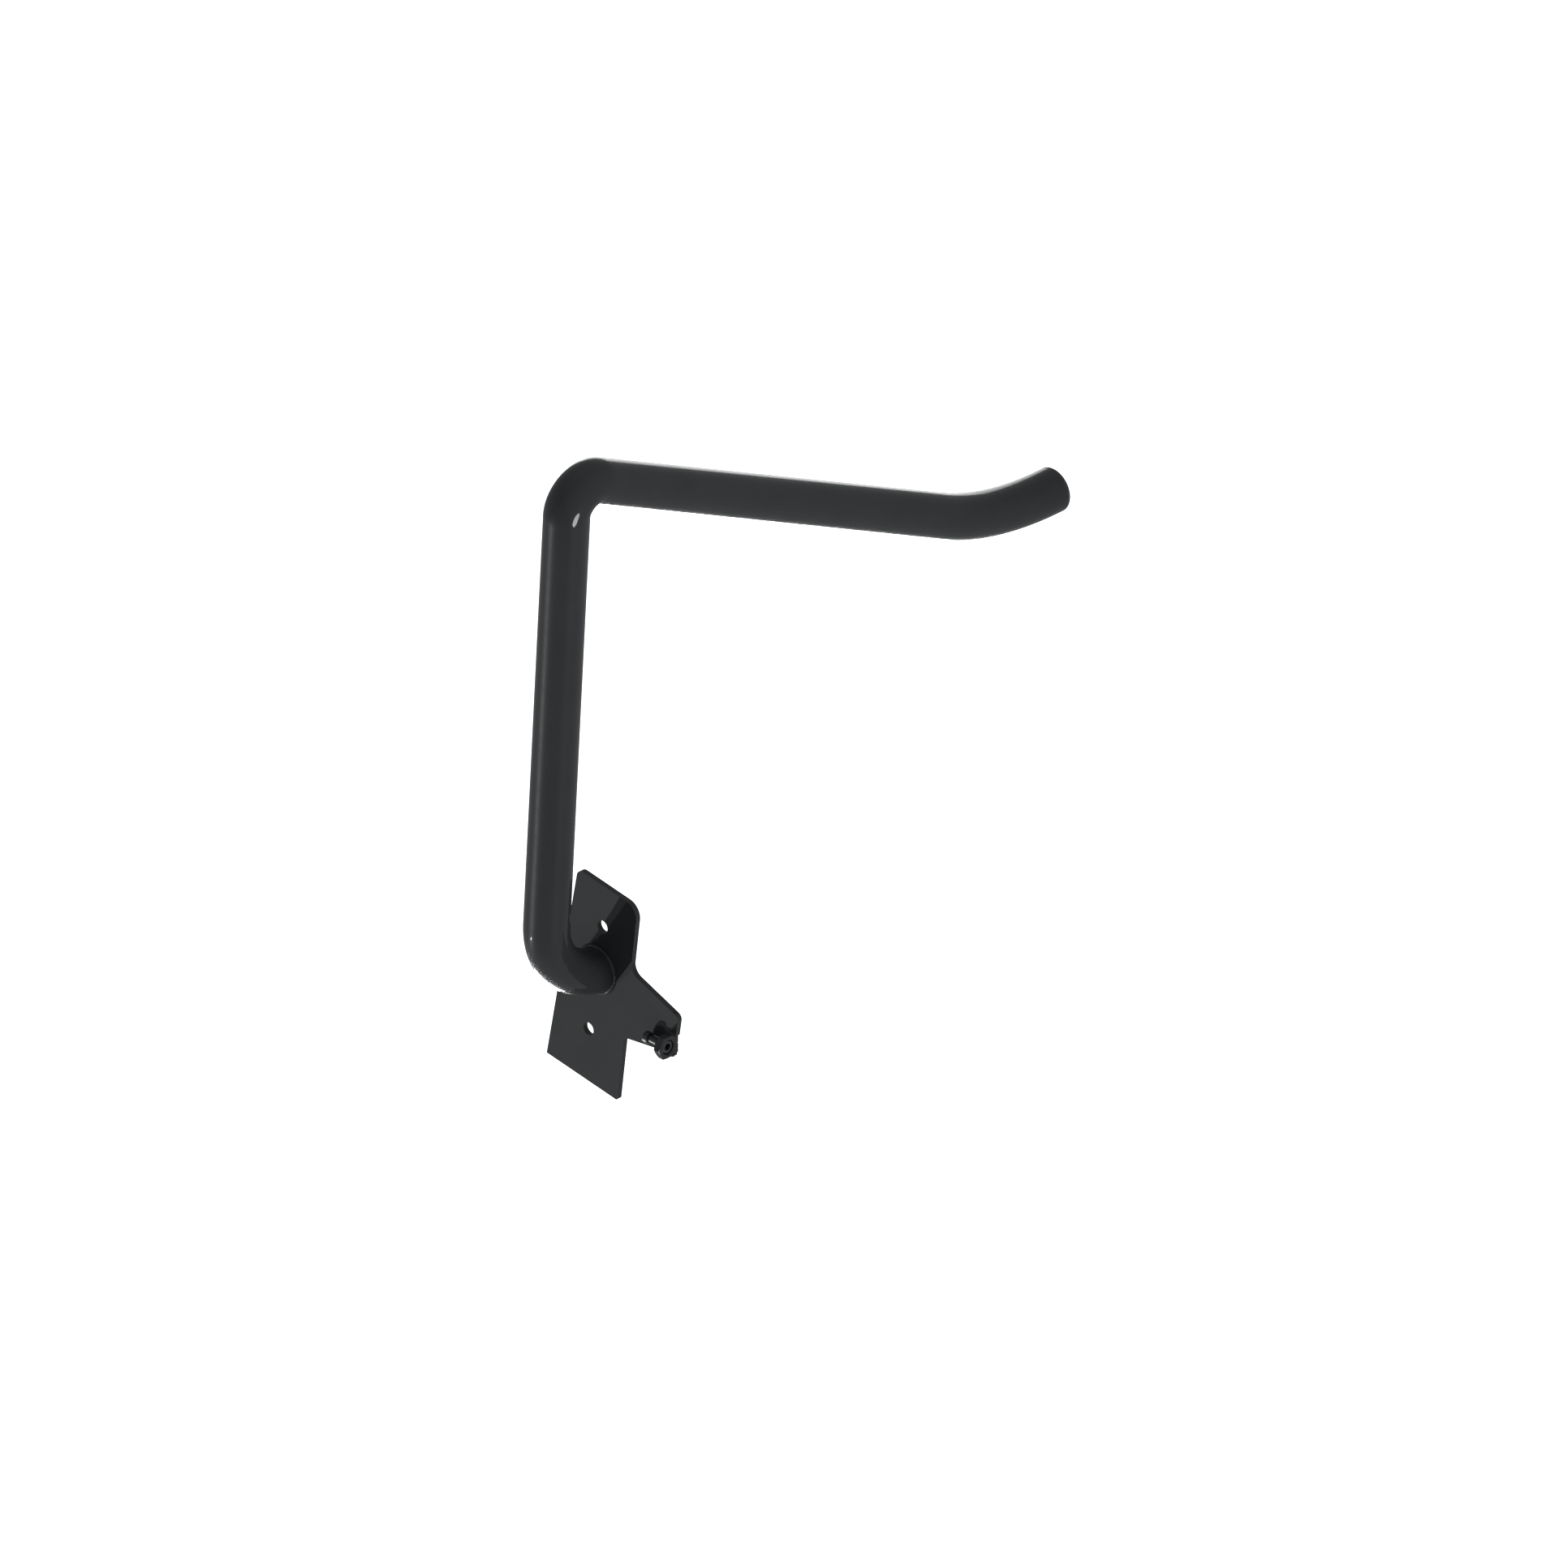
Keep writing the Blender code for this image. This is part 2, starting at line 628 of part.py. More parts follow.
def main():
    clear_scene()
    coated = new_material("charcoal_powder_coat", (0.040, 0.042, 0.044), 0.32, 0.0)
    plastic = new_material("black_plastic", (0.018, 0.018, 0.019), 0.45, 0.0)
    blackened = new_material("blackened_steel", (0.035, 0.035, 0.037), 0.38, 0.6)
    spring = new_material("spring_steel", (0.30, 0.30, 0.31), 0.3, 1.0)

    clamp_axis = make_clamp_axis()
    make_mounting_plate(coated, clamp_axis)
    make_rail_tube(coated)
    make_tube_weld(coated)
    make_end_plug(plastic)
    clamp_pieces = [
        make_clamp_nut(coated),
        make_nut_weld("upper_nut_weld", 1, coated),
        make_nut_weld("lower_nut_weld", -1, coated),
        make_clamp_screw(blackened),
        make_pressure_foot(blackened),
        make_snap_ring(spring),
    ]
    for piece in clamp_pieces:
        piece.parent = clamp_axis


main()
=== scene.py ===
"""Finished look of the bed assist rail: coated steel tube, hooked plate, welded nut and clamp screw.

Lengths are in metres. The frame has its origin on the plate's back face, midway between the bolt
holes, with +Z up, +X along the plate towards the clamp arm, and -Y out of the plate's front.
"""

import json
import math
from contextlib import contextmanager

import bmesh
import bpy
from bpy.props import FloatProperty, FloatVectorProperty, IntProperty, PointerProperty
from mathutils import Matrix, Vector


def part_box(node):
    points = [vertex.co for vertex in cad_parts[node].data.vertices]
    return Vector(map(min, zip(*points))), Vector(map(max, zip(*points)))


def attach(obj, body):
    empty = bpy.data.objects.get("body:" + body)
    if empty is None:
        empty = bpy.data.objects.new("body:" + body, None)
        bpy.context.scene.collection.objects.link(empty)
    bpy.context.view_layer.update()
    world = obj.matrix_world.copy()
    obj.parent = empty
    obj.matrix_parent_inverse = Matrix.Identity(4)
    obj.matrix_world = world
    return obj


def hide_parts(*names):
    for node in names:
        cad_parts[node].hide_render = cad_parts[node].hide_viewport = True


bl_info = {
    "name": "Bed assist rail",
    "version": (1, 0, 0),
    "blender": (4, 5, 0),
    "location": "3D View > Sidebar > Bed rail",
    "description": "Models the finished pieces of a bed assist rail around its packed frame",
    "category": "Add Mesh",
}

MM = 0.001

ROUND_STEPS = 96
MERGE_DISTANCE = 1e-6
RIGHT_ANGLE = math.radians(90)
HEXAGON_TURN = math.radians(30)
SLOT_CLEARANCE = 0.3 * MM

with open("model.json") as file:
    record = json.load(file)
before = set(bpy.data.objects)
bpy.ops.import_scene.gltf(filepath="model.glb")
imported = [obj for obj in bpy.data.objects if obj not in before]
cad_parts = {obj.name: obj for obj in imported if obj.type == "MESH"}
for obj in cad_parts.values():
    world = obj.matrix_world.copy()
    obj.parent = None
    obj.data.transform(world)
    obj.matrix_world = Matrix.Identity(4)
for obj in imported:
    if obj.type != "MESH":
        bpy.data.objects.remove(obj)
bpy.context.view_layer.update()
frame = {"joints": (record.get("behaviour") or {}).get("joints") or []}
JOINTS = {joint["name"]: joint for joint in frame["joints"]}


def box_size(node):
    low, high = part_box(node)
    return high - low


# --- Sizes and finishes ----------------------------------------------------------------------


def length(name, description, default):
    return FloatProperty(name=name, description=description, default=default, unit="LENGTH", precision=5)


def colour(name, description, default):
    return FloatVectorProperty(
        name=name, description=description, default=default, size=3, subtype="COLOR", min=0.0, max=1.0
    )


def factor(name, description, default, highest=1.0):
    return FloatProperty(name=name, description=description, default=default, min=0.0, max=highest)


def angular(name, description, degrees):
    return FloatProperty(name=name, description=description, default=math.radians(degrees), unit="ROTATION")


def count(name, description, default, lowest, highest):
    return IntProperty(name=name, description=description, default=default, min=lowest, max=highest)


class TubeSettings(bpy.types.PropertyGroup):
    """The bent tube: its section, the corners of its centreline and its bends."""

    diameter: length("Diameter", "Outer diameter of the tube", box_size("rail_tube").x)
    wall: length("Wall", "Thickness of the tube's wall", 2.0 * MM)
    stub_height: length("Stub height", "Height of the level line that the lower bend leaves on", 5.5 * MM)
    stub_reach: length("Stub reach", "From the plate's front face to the lower corner", 50.8 * MM)
    post_height: length("Post height", "Rise from the lower corner to the upper corner", 453.8 * MM)
    post_lean: angular("Post lean", "Lean of the post out of the upright", 5.9)
    bar_run: length("Bar run", "Level distance that the hand bar covers", 437.4 * MM)
    bar_drop: length("Bar drop", "How far the hand bar falls along its run", 226.9 * MM)
    tip_length: length("Tip length", "Level stretch beyond the bar's lower corner", 59.6 * MM)
    lower_bend: length("Lower bend", "Bend radius at the plate", 72.0 * MM)
    upper_bend: length("Upper bend", "Bend radius between the post and the bar", 18.0 * MM)
    tip_bend: length("Tip bend", "Bend radius between the bar and its tip", 240.0 * MM)
    sides: count("Sides", "Number of flats round the tube", 112, 24, 256)
    weld_leg: length("Weld leg", "Leg of the fillet weld round the stub", 2.0 * MM)
    weld_ripples: count("Weld ripples", "Ripples round the weld", 46, 8, 120)


class PlateSettings(bpy.types.PropertyGroup):
    """The hooked plate: its outline, bolt holes and the slot for the nut."""

    thickness: length("Thickness", "Thickness of the plate", box_size("mounting_plate").y)
    top: length("Top", "Height of the top edge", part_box("mounting_plate")[1].z)
    bottom: length("Bottom", "Depth of the bottom edge", -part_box("mounting_plate")[0].z)
    top_half_width: length("Top half width", "Half of the width at the top", 28.5 * MM)
    bottom_half_width: length("Bottom half width", "Half of the width at the bottom", 33.7 * MM)
    arm_reach: length("Arm reach", "How far the arm reaches from the middle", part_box("mounting_plate")[1].x)
    arm_root_top: length("Arm root top", "Height of the arm's upper edge at its root", 22.5 * MM)
    arm_end_top: length("Arm end top", "Height of the arm's upper edge at its end", 12.3 * MM)
    arm_end_bottom: length("Arm end bottom", "Depth of the arm's lower edge at its end", 21.0 * MM)
    arm_land: length("Arm land", "Length of the level stretch under the arm's end", 10.7 * MM)
    notch_height: length("Notch height", "Depth of the hook's inner corner", 30.7 * MM)
    hole_diameter: length("Hole diameter", "Diameter of the two bolt holes", 9.5 * MM)
    hole_spacing: length("Hole spacing", "Distance between the bolt holes", 85.0 * MM)
    edge_round: length("Edge round", "Radius of the rounded edges", 1.0 * MM)


class ClampSettings(bpy.types.PropertyGroup):
    """The welded nut, the screw in it and the foot on its end."""

    nut_flats: length("Nut flats", "Width of the nut across its flats", 16.0 * MM)
    nut_thickness: length("Nut thickness", "Length of the nut along the screw", 6.0 * MM)
    nut_bead: length("Nut bead", "Leg of the weld between the nut and the plate", 1.3 * MM)
    bore: length("Bore", "Inner diameter of the nut", 10.3 * MM)
    screw_diameter: length("Screw diameter", "Outer diameter of the thread", 10.0 * MM)
    pitch: length("Pitch", "Pitch of the thread", 1.5 * MM)
    inset: length("Inset", "How deep the screw's end lies in the nut", 1.2 * MM)
    thread_length: length("Thread length", "Length of the threaded part", 7.8 * MM)
    neck_diameter: length("Neck diameter", "Diameter of the screw's neck", 5.0 * MM)
    neck_length: length("Neck length", "Length of the neck that shows", 8.7 * MM)
    socket_flats: length("Socket flats", "Width of the hexagon socket across its flats", 5.0 * MM)
    socket_depth: length("Socket depth", "Depth of the hexagon socket", 4.0 * MM)
    foot_diameter: length("Foot diameter", "Diameter of the pressure foot", 8.5 * MM)
    foot_length: length("Foot length", "Length of the pressure foot", 4.0 * MM)


class PlugSettings(bpy.types.PropertyGroup):
    """The ribbed plug that closes the tube's free end."""

    flange: length("Flange", "Thickness of the plug's flange", 3.0 * MM)
    rim_radius: length("Rim radius", "Radius of the flange's rounded rim", 1.8 * MM)
    rib_pitch: length("Rib pitch", "Distance between the ribs", 3.6 * MM)
    ribs: count("Ribs", "Number of ribs", 3, 1, 8)


class FinishSettings(bpy.types.PropertyGroup):
    """Colours and surface of the finishes."""

    coat: colour("Coat", "Colour of the powder coat", (0.0155, 0.0168, 0.0175))
    coat_roughness: factor("Coat roughness", "Roughness of the powder coat", 0.42)
    coat_specular: factor("Coat specular", "Specular level of the powder coat", 0.015)
    gloss: factor("Gloss", "Weight of the smooth top layer of the powder coat", 0.28)
    gloss_roughness: factor("Gloss roughness", "Roughness of that top layer", 0.04)
    peel: factor("Peel", "Strength of the coat's fine waviness", 0.10)
    plug: colour("Plug", "Colour of the moulded plug", (0.012, 0.012, 0.0125))
    oxide: colour("Oxide", "Colour of the blackened screw and foot", (0.022, 0.022, 0.024))
    spring: colour("Spring wire", "Colour of the snap ring", (0.42, 0.42, 0.43))
    floor: colour("Floor", "Colour of the studio floor", (0.92, 0.92, 0.92))


class StageSettings(bpy.types.PropertyGroup):
    """The floor, lamps and camera."""

    floor_depth: length("Floor depth", "How far the floor lies below the origin", 0.80)
    floor_size: length("Floor size", "Side of the square floor", 16.0)
    floor_glow: factor("Floor glow", "Brightness of the lit floor itself", 1.0, 10.0)
    surround: factor("Surround", "Brightness of the surroundings", 0.52, 10.0)
    top_lamp: factor("Top lamp", "Power of the overhead lamp, in watts", 14.0, 5000.0)
    key_light: factor("Key light", "Strength of the low light from the left", 2.75, 50.0)
    key_angle: angular("Key angle", "Apparent width of the low light", 0.8)
    fill_light: factor("Fill light", "Strength of the light from the right", 2.7, 50.0)
    fill_angle: angular("Fill angle", "Apparent width of the fill light", 20)
    rim_lamp: factor("Rim lamp", "Power of the lamp behind the rail, seen only in reflections", 11.0, 500.0)
    glint_light: factor("Glint light", "Strength of the low light seen only in reflections", 4.0, 50.0)
    glint_angle: angular("Glint angle", "Apparent width of the glint light", 20)
    view_width: length("View width", "Width that the camera takes in", 1.05294)


# --- Modelling helpers -----------------------------------------------------------------------


def deselect_all():
    bpy.ops.object.select_all(action="DESELECT")


def activate(piece):
    deselect_all()
    piece.select_set(True)
    bpy.context.view_layer.objects.active = piece


def named(name):
    """Names the object that an operator has just added."""
    piece = bpy.context.object
    piece.name = name
    piece.data.name = name
    return piece


@contextmanager
def editing(piece):
    activate(piece)
    bpy.ops.object.mode_set(mode="EDIT")
    yield
    bpy.ops.object.mode_set(mode="OBJECT")


def select_vertices(piece, chosen):
    """In edit mode, selects the vertices that pass a test on their place."""
    bpy.ops.mesh.select_mode(type="VERT")
    bpy.ops.mesh.select_all(action="DESELECT")
    shape = bmesh.from_edit_mesh(piece.data)
    for vertex in shape.verts:
        vertex.select = chosen(vertex.co)
    shape.select_flush(True)
    bmesh.update_edit_mesh(piece.data)


def apply_modifier(piece, kind, **settings):
    activate(piece)
    modifier = piece.modifiers.new(kind.title(), kind)
    for name, value in settings.items():
        setattr(modifier, name, value)
    bpy.ops.object.modifier_apply(modifier=modifier.name)


def combine(piece, tool, operation):
    """Applies a Boolean with a tool, which is then removed."""
    apply_modifier(piece, "BOOLEAN", operation=operation, solver="EXACT", object=tool)
    bpy.data.objects.remove(tool, do_unlink=True)


def apply_place(piece):
    activate(piece)
    bpy.ops.object.transform_apply(location=True, rotation=True, scale=True)


def round_edges(piece, radius, segments, degrees):
    """Rounds each edge that is sharper than the given angle."""
    apply_modifier(
        piece,
        "BEVEL",
        width=radius,
        segments=segments,
        limit_method="ANGLE",
        angle_limit=math.radians(degrees),
        use_clamp_overlap=True,
    )


def smooth(piece, degrees):
    """Smooths across shallow edges and keeps the large flat faces flat."""
    activate(piece)
    bpy.ops.object.shade_smooth_by_angle(angle=math.radians(degrees))
    apply_modifier(piece, "WEIGHTED_NORMAL", mode="FACE_AREA", weight=100, keep_sharp=True)


def tidy_normals(piece):
    with editing(piece):
        bpy.ops.mesh.select_all(action="SELECT")
        bpy.ops.mesh.remove_doubles(threshold=MERGE_DISTANCE)
        bpy.ops.mesh.delete_loose()
        bpy.ops.mesh.select_all(action="SELECT")
        bpy.ops.mesh.normals_make_consistent(inside=False)


def outline_sheet(name, points):
    """A flat face with the given outline."""
    deselect_all()
    bpy.ops.mesh.primitive_circle_add(vertices=len(points), radius=1.0, fill_type="NGON")
    sheet = named(name)
    for vertex, point in zip(sheet.data.vertices, points):
        vertex.co = point
    return sheet


def thicken(sheet, move):
    """Extrudes a flat sheet into a solid."""
    with editing(sheet):
        bpy.ops.mesh.select_all(action="SELECT")
        bpy.ops.mesh.extrude_region_move(TRANSFORM_OT_translate={"value": move})
    tidy_normals(sheet)


def turned(name, profile, steps=ROUND_STEPS):
    """A solid turned about the X axis, from (x, radius) points that start and end on it."""
    deselect_all()
    bpy.ops.mesh.primitive_circle_add(vertices=len(profile), radius=1.0, fill_type="NOTHING")
    piece = named(name)
    for vertex, (x, radius) in zip(piece.data.vertices, profile):
        vertex.co = (x, 0.0, radius)
    with editing(piece):
        bpy.ops.mesh.select_all(action="SELECT")
        bpy.ops.mesh.spin(steps=steps, angle=math.tau, center=(0, 0, 0), axis=(1, 0, 0))
    tidy_normals(piece)
    return piece


def rod(name, radius, depth, place):
    """A round cutter whose axis is the Y axis."""
    deselect_all()
    bpy.ops.mesh.primitive_cylinder_add(
        vertices=ROUND_STEPS, radius=radius, depth=depth, location=place, rotation=(RIGHT_ANGLE, 0, 0)
    )
    cutter = named(name)
    apply_place(cutter)
    return cutter


def hexagon(name, flats, low, high):
    """A hexagonal bar along the X axis, with two flats facing up and down."""
    deselect_all()
    bpy.ops.mesh.primitive_cylinder_add(
        vertices=6,
        radius=flats / math.sqrt(3),
        depth=high - low,
        location=((low + high) / 2, 0, 0),
        rotation=(0, RIGHT_ANGLE, 0),
    )
    bar = named(name)
    apply_place(bar)
    stands_on_a_corner = max(vertex.co.z for vertex in bar.data.vertices) > 0.51 * flats
    if stands_on_a_corner:
        with editing(bar):
            bpy.ops.mesh.select_all(action="SELECT")
            bpy.ops.transform.rotate(value=HEXAGON_TURN, orient_axis="X", center_override=(0, 0, 0))
    return bar


def install(piece, body, node, slot, degrees):
    """Gives a finished piece its shading and finish, and lets it stand for its node."""
    smooth(piece, degrees)
    piece.data.materials.clear()
    piece.data.materials.append(finish_for(slot))
    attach(piece, body)
    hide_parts(node)


def redo(name):
    """Removes an earlier copy of a piece, so that its operator can run again."""
    if name in bpy.data.objects:
        bpy.data.objects.remove(bpy.data.objects[name], do_unlink=True)


# --- Tube path -------------------------------------------------------------------------------


def tube_corners(tube, plate):
    """Corners of the centreline as (y, z): behind the plate, lower, upper, bar's end and tip."""
    lower = Vector((-plate.thickness - tube.stub_reach, tube.stub_height))
    upper = lower + tube.post_height * Vector((-math.tan(tube.post_lean), 1.0))
    bar_end = upper + Vector((tube.bar_run, -tube.bar_drop))
    tip = bar_end + Vector((tube.tip_length, 0.0))
    tangent = tube.lower_bend * math.tan(math.radians(45) - tube.post_lean / 2)
    start = lower + Vector((tangent + tube.diameter / 2, 0.0))
    return [start, lower, upper, bar_end, tip]


def stub_crossing(tube, plate):
    """Height of the centreline where it meets the plate's front, and its slope there."""
    tangent = tube.lower_bend * math.tan(math.radians(45) - tube.post_lean / 2)
    past = tangent - tube.stub_reach
    angle = math.asin(min(max(past, 0.0) / tube.lower_bend, 0.7))
    return tube.stub_height + tube.lower_bend * (1 - math.cos(angle)), angle


def extend(move):
    """Extrudes the selected rim along a straight stretch."""
    bpy.ops.mesh.extrude_region_move(TRANSFORM_OT_translate={"value": (0.0, move.x, move.y)})


def sweep(corners, bends, bend_step=math.radians(2.5)):
    """Extrudes and spins the selected rim along the path."""
    position = corners[0]
    for corner, after, bend in zip(corners[1:], corners[2:], bends):
        inward = (position - corner).normalized()
        outward = (after - corner).normalized()
        half = inward.angle(outward) / 2
        extend(corner + inward * bend / math.tan(half) - position)
        centre = corner + (inward + outward).normalized() * bend / math.sin(half)
        turn = math.pi - 2 * half
        clockwise = inward.x * outward.y - inward.y * outward.x > 0
        bpy.ops.mesh.spin(
            steps=max(6, math.ceil(turn / bend_step)),
            angle=turn,
            center=(0.0, centre.x, centre.y),
            axis=(1.0 if clockwise else -1.0, 0.0, 0.0),
        )
        position = corner + outward * bend / math.tan(half)
    extend(corners[-1] - position)


# --- Plate outline ---------------------------------------------------------------------------


def rounded_outline(corners, step=math.radians(6)):
    """Points of a closed outline in (x, z), from corners given as (x, z, radius)."""
    points = []
    for index, (x, z, radius) in enumerate(corners):
        here = Vector((x, z))
        before = Vector(corners[index - 1][:2])
        after = Vector(corners[(index + 1) % len(corners)][:2])
        points += rounded_corner(before, here, after, radius, step)
    return points


def rounded_corner(before, here, after, radius, step):
    """Points of the arc that rounds one corner."""
    back = (before - here).normalized()
    on = (after - here).normalized()
    half = back.angle(on) / 2
    centre = here + (back + on).normalized() * radius / math.sin(half)
    start = here + back * radius / math.tan(half) - centre
    end = here + on * radius / math.tan(half) - centre
    turn = start.angle_signed(end)
    steps = max(2, round(abs(turn) / step))
    return [centre + turned_by(start, turn * number / steps) for number in range(steps + 1)]


def turned_by(vector, angle):
    """A plane vector turned clockwise."""
    c, s = math.cos(angle), math.sin(angle)
    return Vector((vector.x * c + vector.y * s, vector.y * c - vector.x * s))


def plate_corners(plate):
    """Corners of the plate's outline as (x, z, radius), clockwise from the bottom left."""

    def half_width(z):
        share = (plate.top - z) / (plate.top + plate.bottom)
        return plate.top_half_width + share * (plate.bottom_half_width - plate.top_half_width)

    return [
        (-plate.bottom_half_width, -plate.bottom, 0.6 * MM),
        (-plate.top_half_width, plate.top, 5.5 * MM),
        (plate.top_half_width, plate.top, 11.0 * MM),
        (half_width(plate.arm_root_top), plate.arm_root_top, 9.0 * MM),
        (plate.arm_reach, plate.arm_end_top, 4.5 * MM),
        (plate.arm_reach, -plate.arm_end_bottom, 1.5 * MM),
        (plate.arm_reach - plate.arm_land, -plate.arm_end_bottom, 3.0 * MM),
        (half_width(-plate.notch_height), -plate.notch_height, 3.0 * MM),
        (plate.bottom_half_width, -plate.bottom, 1.5 * MM),
    ]


# --- Clamp axis ------------------------------------------------------------------------------


def clamp_place():
    """Turns a piece built along X, with x = 0 at the nut's outer face, into its place."""
    joint = JOINTS["screw_turn"]
    outward = -Vector(joint["axis"]).normalized()
    across = Vector((0.0, 1.0, 0.0))
    upward = outward.cross(across)
    turn = Matrix((outward, across, upward)).transposed().to_4x4()
    return Matrix.Translation(joint["pos_m"]) @ turn


def place_on_clamp(piece):
    piece.matrix_world = clamp_place()
    apply_place(piece)


def plate_face_from_axis(plate):
    """Where the plate's front face lies, measured from the screw's axis towards the back."""
    return -plate.thickness - JOINTS["screw_turn"]["pos_m"][1]


def slot_half_height(clamp, plate):
    """Half of the height of the nut's slot, a gap taller than the nut at the plate's face."""
    nut_half = clamp.nut_flats - math.sqrt(3) * plate_face_from_axis(plate)
    return min(clamp.nut_flats / 2, nut_half) + SLOT_CLEARANCE


def foot_back(clamp):
    return -clamp.inset - clamp.thread_length - clamp.neck_length


# --- Finishes --------------------------------------------------------------------------------


class Signal:
    """A node's output with arithmetic on it: each operation adds its Math node."""

    def __init__(self, finish, socket):
        self.finish = finish
        self.socket = socket

    def _math(self, operation, first, second):
        return self.finish.node("ShaderNodeMath", {"operation": operation}, {0: first, 1: second})

    def __add__(self, other):
        return self._math("ADD", self, other)

    __radd__ = __add__

    def __sub__(self, other):
        return self._math("SUBTRACT", self, other)

    def __rsub__(self, other):
        return self._math("SUBTRACT", other, self)

    def __mul__(self, other):
        return self._math("MULTIPLY", self, other)

    __rmul__ = __mul__


class Finish:
    """A material under construction, with one method that adds any node."""

    def __init__(self, name):
        self.material = bpy.data.materials.new(name)
        self.material.use_nodes = True
        self.tree = self.material.node_tree
        self.shader = self.tree.nodes["Principled BSDF"]

    def node(self, kind, settings=None, inputs=None, output=0):
        made = self.tree.nodes.new(kind)
        for name, value in (settings or {}).items():
            if name == "stops":
                self.set_stops(made.color_ramp, value)
            else:
                setattr(made, name, value)
        for key, value in (inputs or {}).items():
            self.feed(made.inputs[key], value)
        return Signal(self, made.outputs[output])

    def set_stops(self, ramp, stops):
        while len(ramp.elements) < len(stops):
            ramp.elements.new(0.5)
        for element, (position, value) in zip(ramp.elements, stops):
            element.position = position
            element.color = (value, value, value, 1.0)

    def feed(self, socket, value):
        if isinstance(value, Signal):
            self.tree.links.new(value.socket, socket)
        else:
            socket.default_value = value

    def set(self, **values):
        for name, value in values.items():
            self.feed(self.shader.inputs[name.replace("_", " ")], value)

    def place(self):
        return self.node("ShaderNodeTexCoord", output="Object")

    def noise(self, scale, detail, roughness=0.5):
        settings = {"Scale": scale, "Detail": detail, "Roughness": roughness}
        return self.node("ShaderNodeTexNoise", inputs={"Vector": self.place(), **settings})

    def ramp(self, signal, low, high):
        """Spreads a signal's range from low to high over 0 to 1."""
        return self.node("ShaderNodeValToRGB", {"stops": ((low, 0.0), (high, 1.0))}, {0: signal})

    def blend(self, share, first, second):
        """Mixes two colours by a share from 0 to 1. Each is a signal or plain red, green and blue."""
        first, second = (tone if isinstance(tone, Signal) else (*tone, 1.0) for tone in (first, second))
        inputs = {"Factor": share, 6: first, 7: second}
        return self.node("ShaderNodeMix", {"data_type": "RGBA"}, inputs, output=2)

    def bump(self, height, strength, distance, below=None):
        inputs = {"Height": height, "Strength": strength, "Distance": distance}
        if below:
            inputs["Normal"] = below
        return self.node("ShaderNodeBump", inputs=inputs)


def shaded(tone, share):
    """A colour made darker or lighter by a share of itself."""
    return tuple(channel * share for channel in tone)


def powder_coat(settings):
    """Satin powder coat: fine orange peel, slow drifts of gloss and a few dust specks."""
    finish = Finish("charcoal_powder_coat")
    tone = tuple(settings.coat)
    drift = finish.noise(38.0, 2.0)
    flecks = finish.ramp(finish.noise(2600.0, 1.0), 0.60, 0.74)
    body = finish.blend(drift, shaded(tone, 0.86), shaded(tone, 1.14))
    speckled = finish.blend(flecks * 0.35, body, shaded(tone, 2.2))
    rough = settings.coat_roughness + (finish.noise(120.0, 3.0) - 0.5) * 0.10 + flecks * 0.05
    peel = finish.noise(620.0, 2.0, 0.45)
    waves = finish.noise(210.0, 1.0)
    surface = finish.bump(waves, settings.peel, 0.10 * MM)
    finish.set(
        Base_Color=speckled,
        Roughness=rough,
        Normal=finish.bump(peel, settings.peel, 0.05 * MM, surface),
        Specular_IOR_Level=settings.coat_specular,
        Coat_Weight=settings.gloss,
        Coat_Roughness=settings.gloss_roughness,
    )
    return finish.material


def moulded_plastic(settings):
    """Moulded black plastic with a fine spark-eroded grain."""
    finish = Finish("moulded_plastic")
    grain = finish.node(
        "ShaderNodeTexVoronoi",
        {"feature": "SMOOTH_F1"},
        {"Vector": finish.place(), "Scale": 1900.0, "Smoothness": 0.6},
    )
    drift = finish.noise(60.0, 2.0)
    finish.set(
        Base_Color=finish.blend(drift, shaded(settings.plug, 0.85), shaded(settings.plug, 1.25)),
        Roughness=0.52 + (drift - 0.5) * 0.12,
        Normal=finish.bump(grain, 0.22, 0.05 * MM),
    )
    return finish.material


def black_oxide(settings):
    """Blackened steel, a little brighter where the oil has dried off it."""
    finish = Finish("black_oxide_steel")
    stain = finish.ramp(finish.noise(420.0, 4.0, 0.6), 0.38, 0.66)
    turning = finish.noise(3200.0, 2.0)
    finish.set(
        Base_Color=finish.blend(stain, shaded(settings.oxide, 0.7), shaded(settings.oxide, 1.6)),
        Metallic=0.35 + stain * 0.25,
        Roughness=0.40 - stain * 0.10,
        Normal=finish.bump(turning, 0.12, 0.03 * MM),
    )
    return finish.material


def spring_wire(settings):
    """Drawn spring wire with fine lengthwise scratches."""
    finish = Finish("spring_wire")
    scratches = finish.noise(5200.0, 3.0)
    finish.set(
        Base_Color=finish.blend(scratches, shaded(settings.spring, 0.8), shaded(settings.spring, 1.1)),
        Metallic=1.0,
        Roughness=0.24 + scratches * 0.12,
    )
    return finish.material


def studio_floor(settings):
    """Matt pale floor with a barely visible mottle."""
    finish = Finish("studio_floor")
    mottle = finish.noise(3.0, 2.0)
    finish.set(
        Base_Color=finish.blend(mottle, shaded(settings.floor, 0.995), settings.floor),
        Roughness=0.9,
        Specular_IOR_Level=0.1,
        Emission_Color=(1.0, 1.0, 1.0, 1.0),
        Emission_Strength=bpy.context.scene.rail_stage.floor_glow,
    )
    return finish.material


FINISHES = {
    "coated_steel": powder_coat,
    "plug_plastic": moulded_plastic,
    "blackened_steel": black_oxide,
    "spring_steel": spring_wire,
    "floor": studio_floor,
}


def finish_for(slot):
    """The finished material of a slot, made the first time that it is asked for."""
    key = f"finish_{slot}"
    if key not in bpy.context.scene:
        bpy.context.scene[key] = FINISHES[slot](bpy.context.scene.rail_finishes).name
    return bpy.data.materials[bpy.context.scene[key]]


# --- Pieces ----------------------------------------------------------------------------------


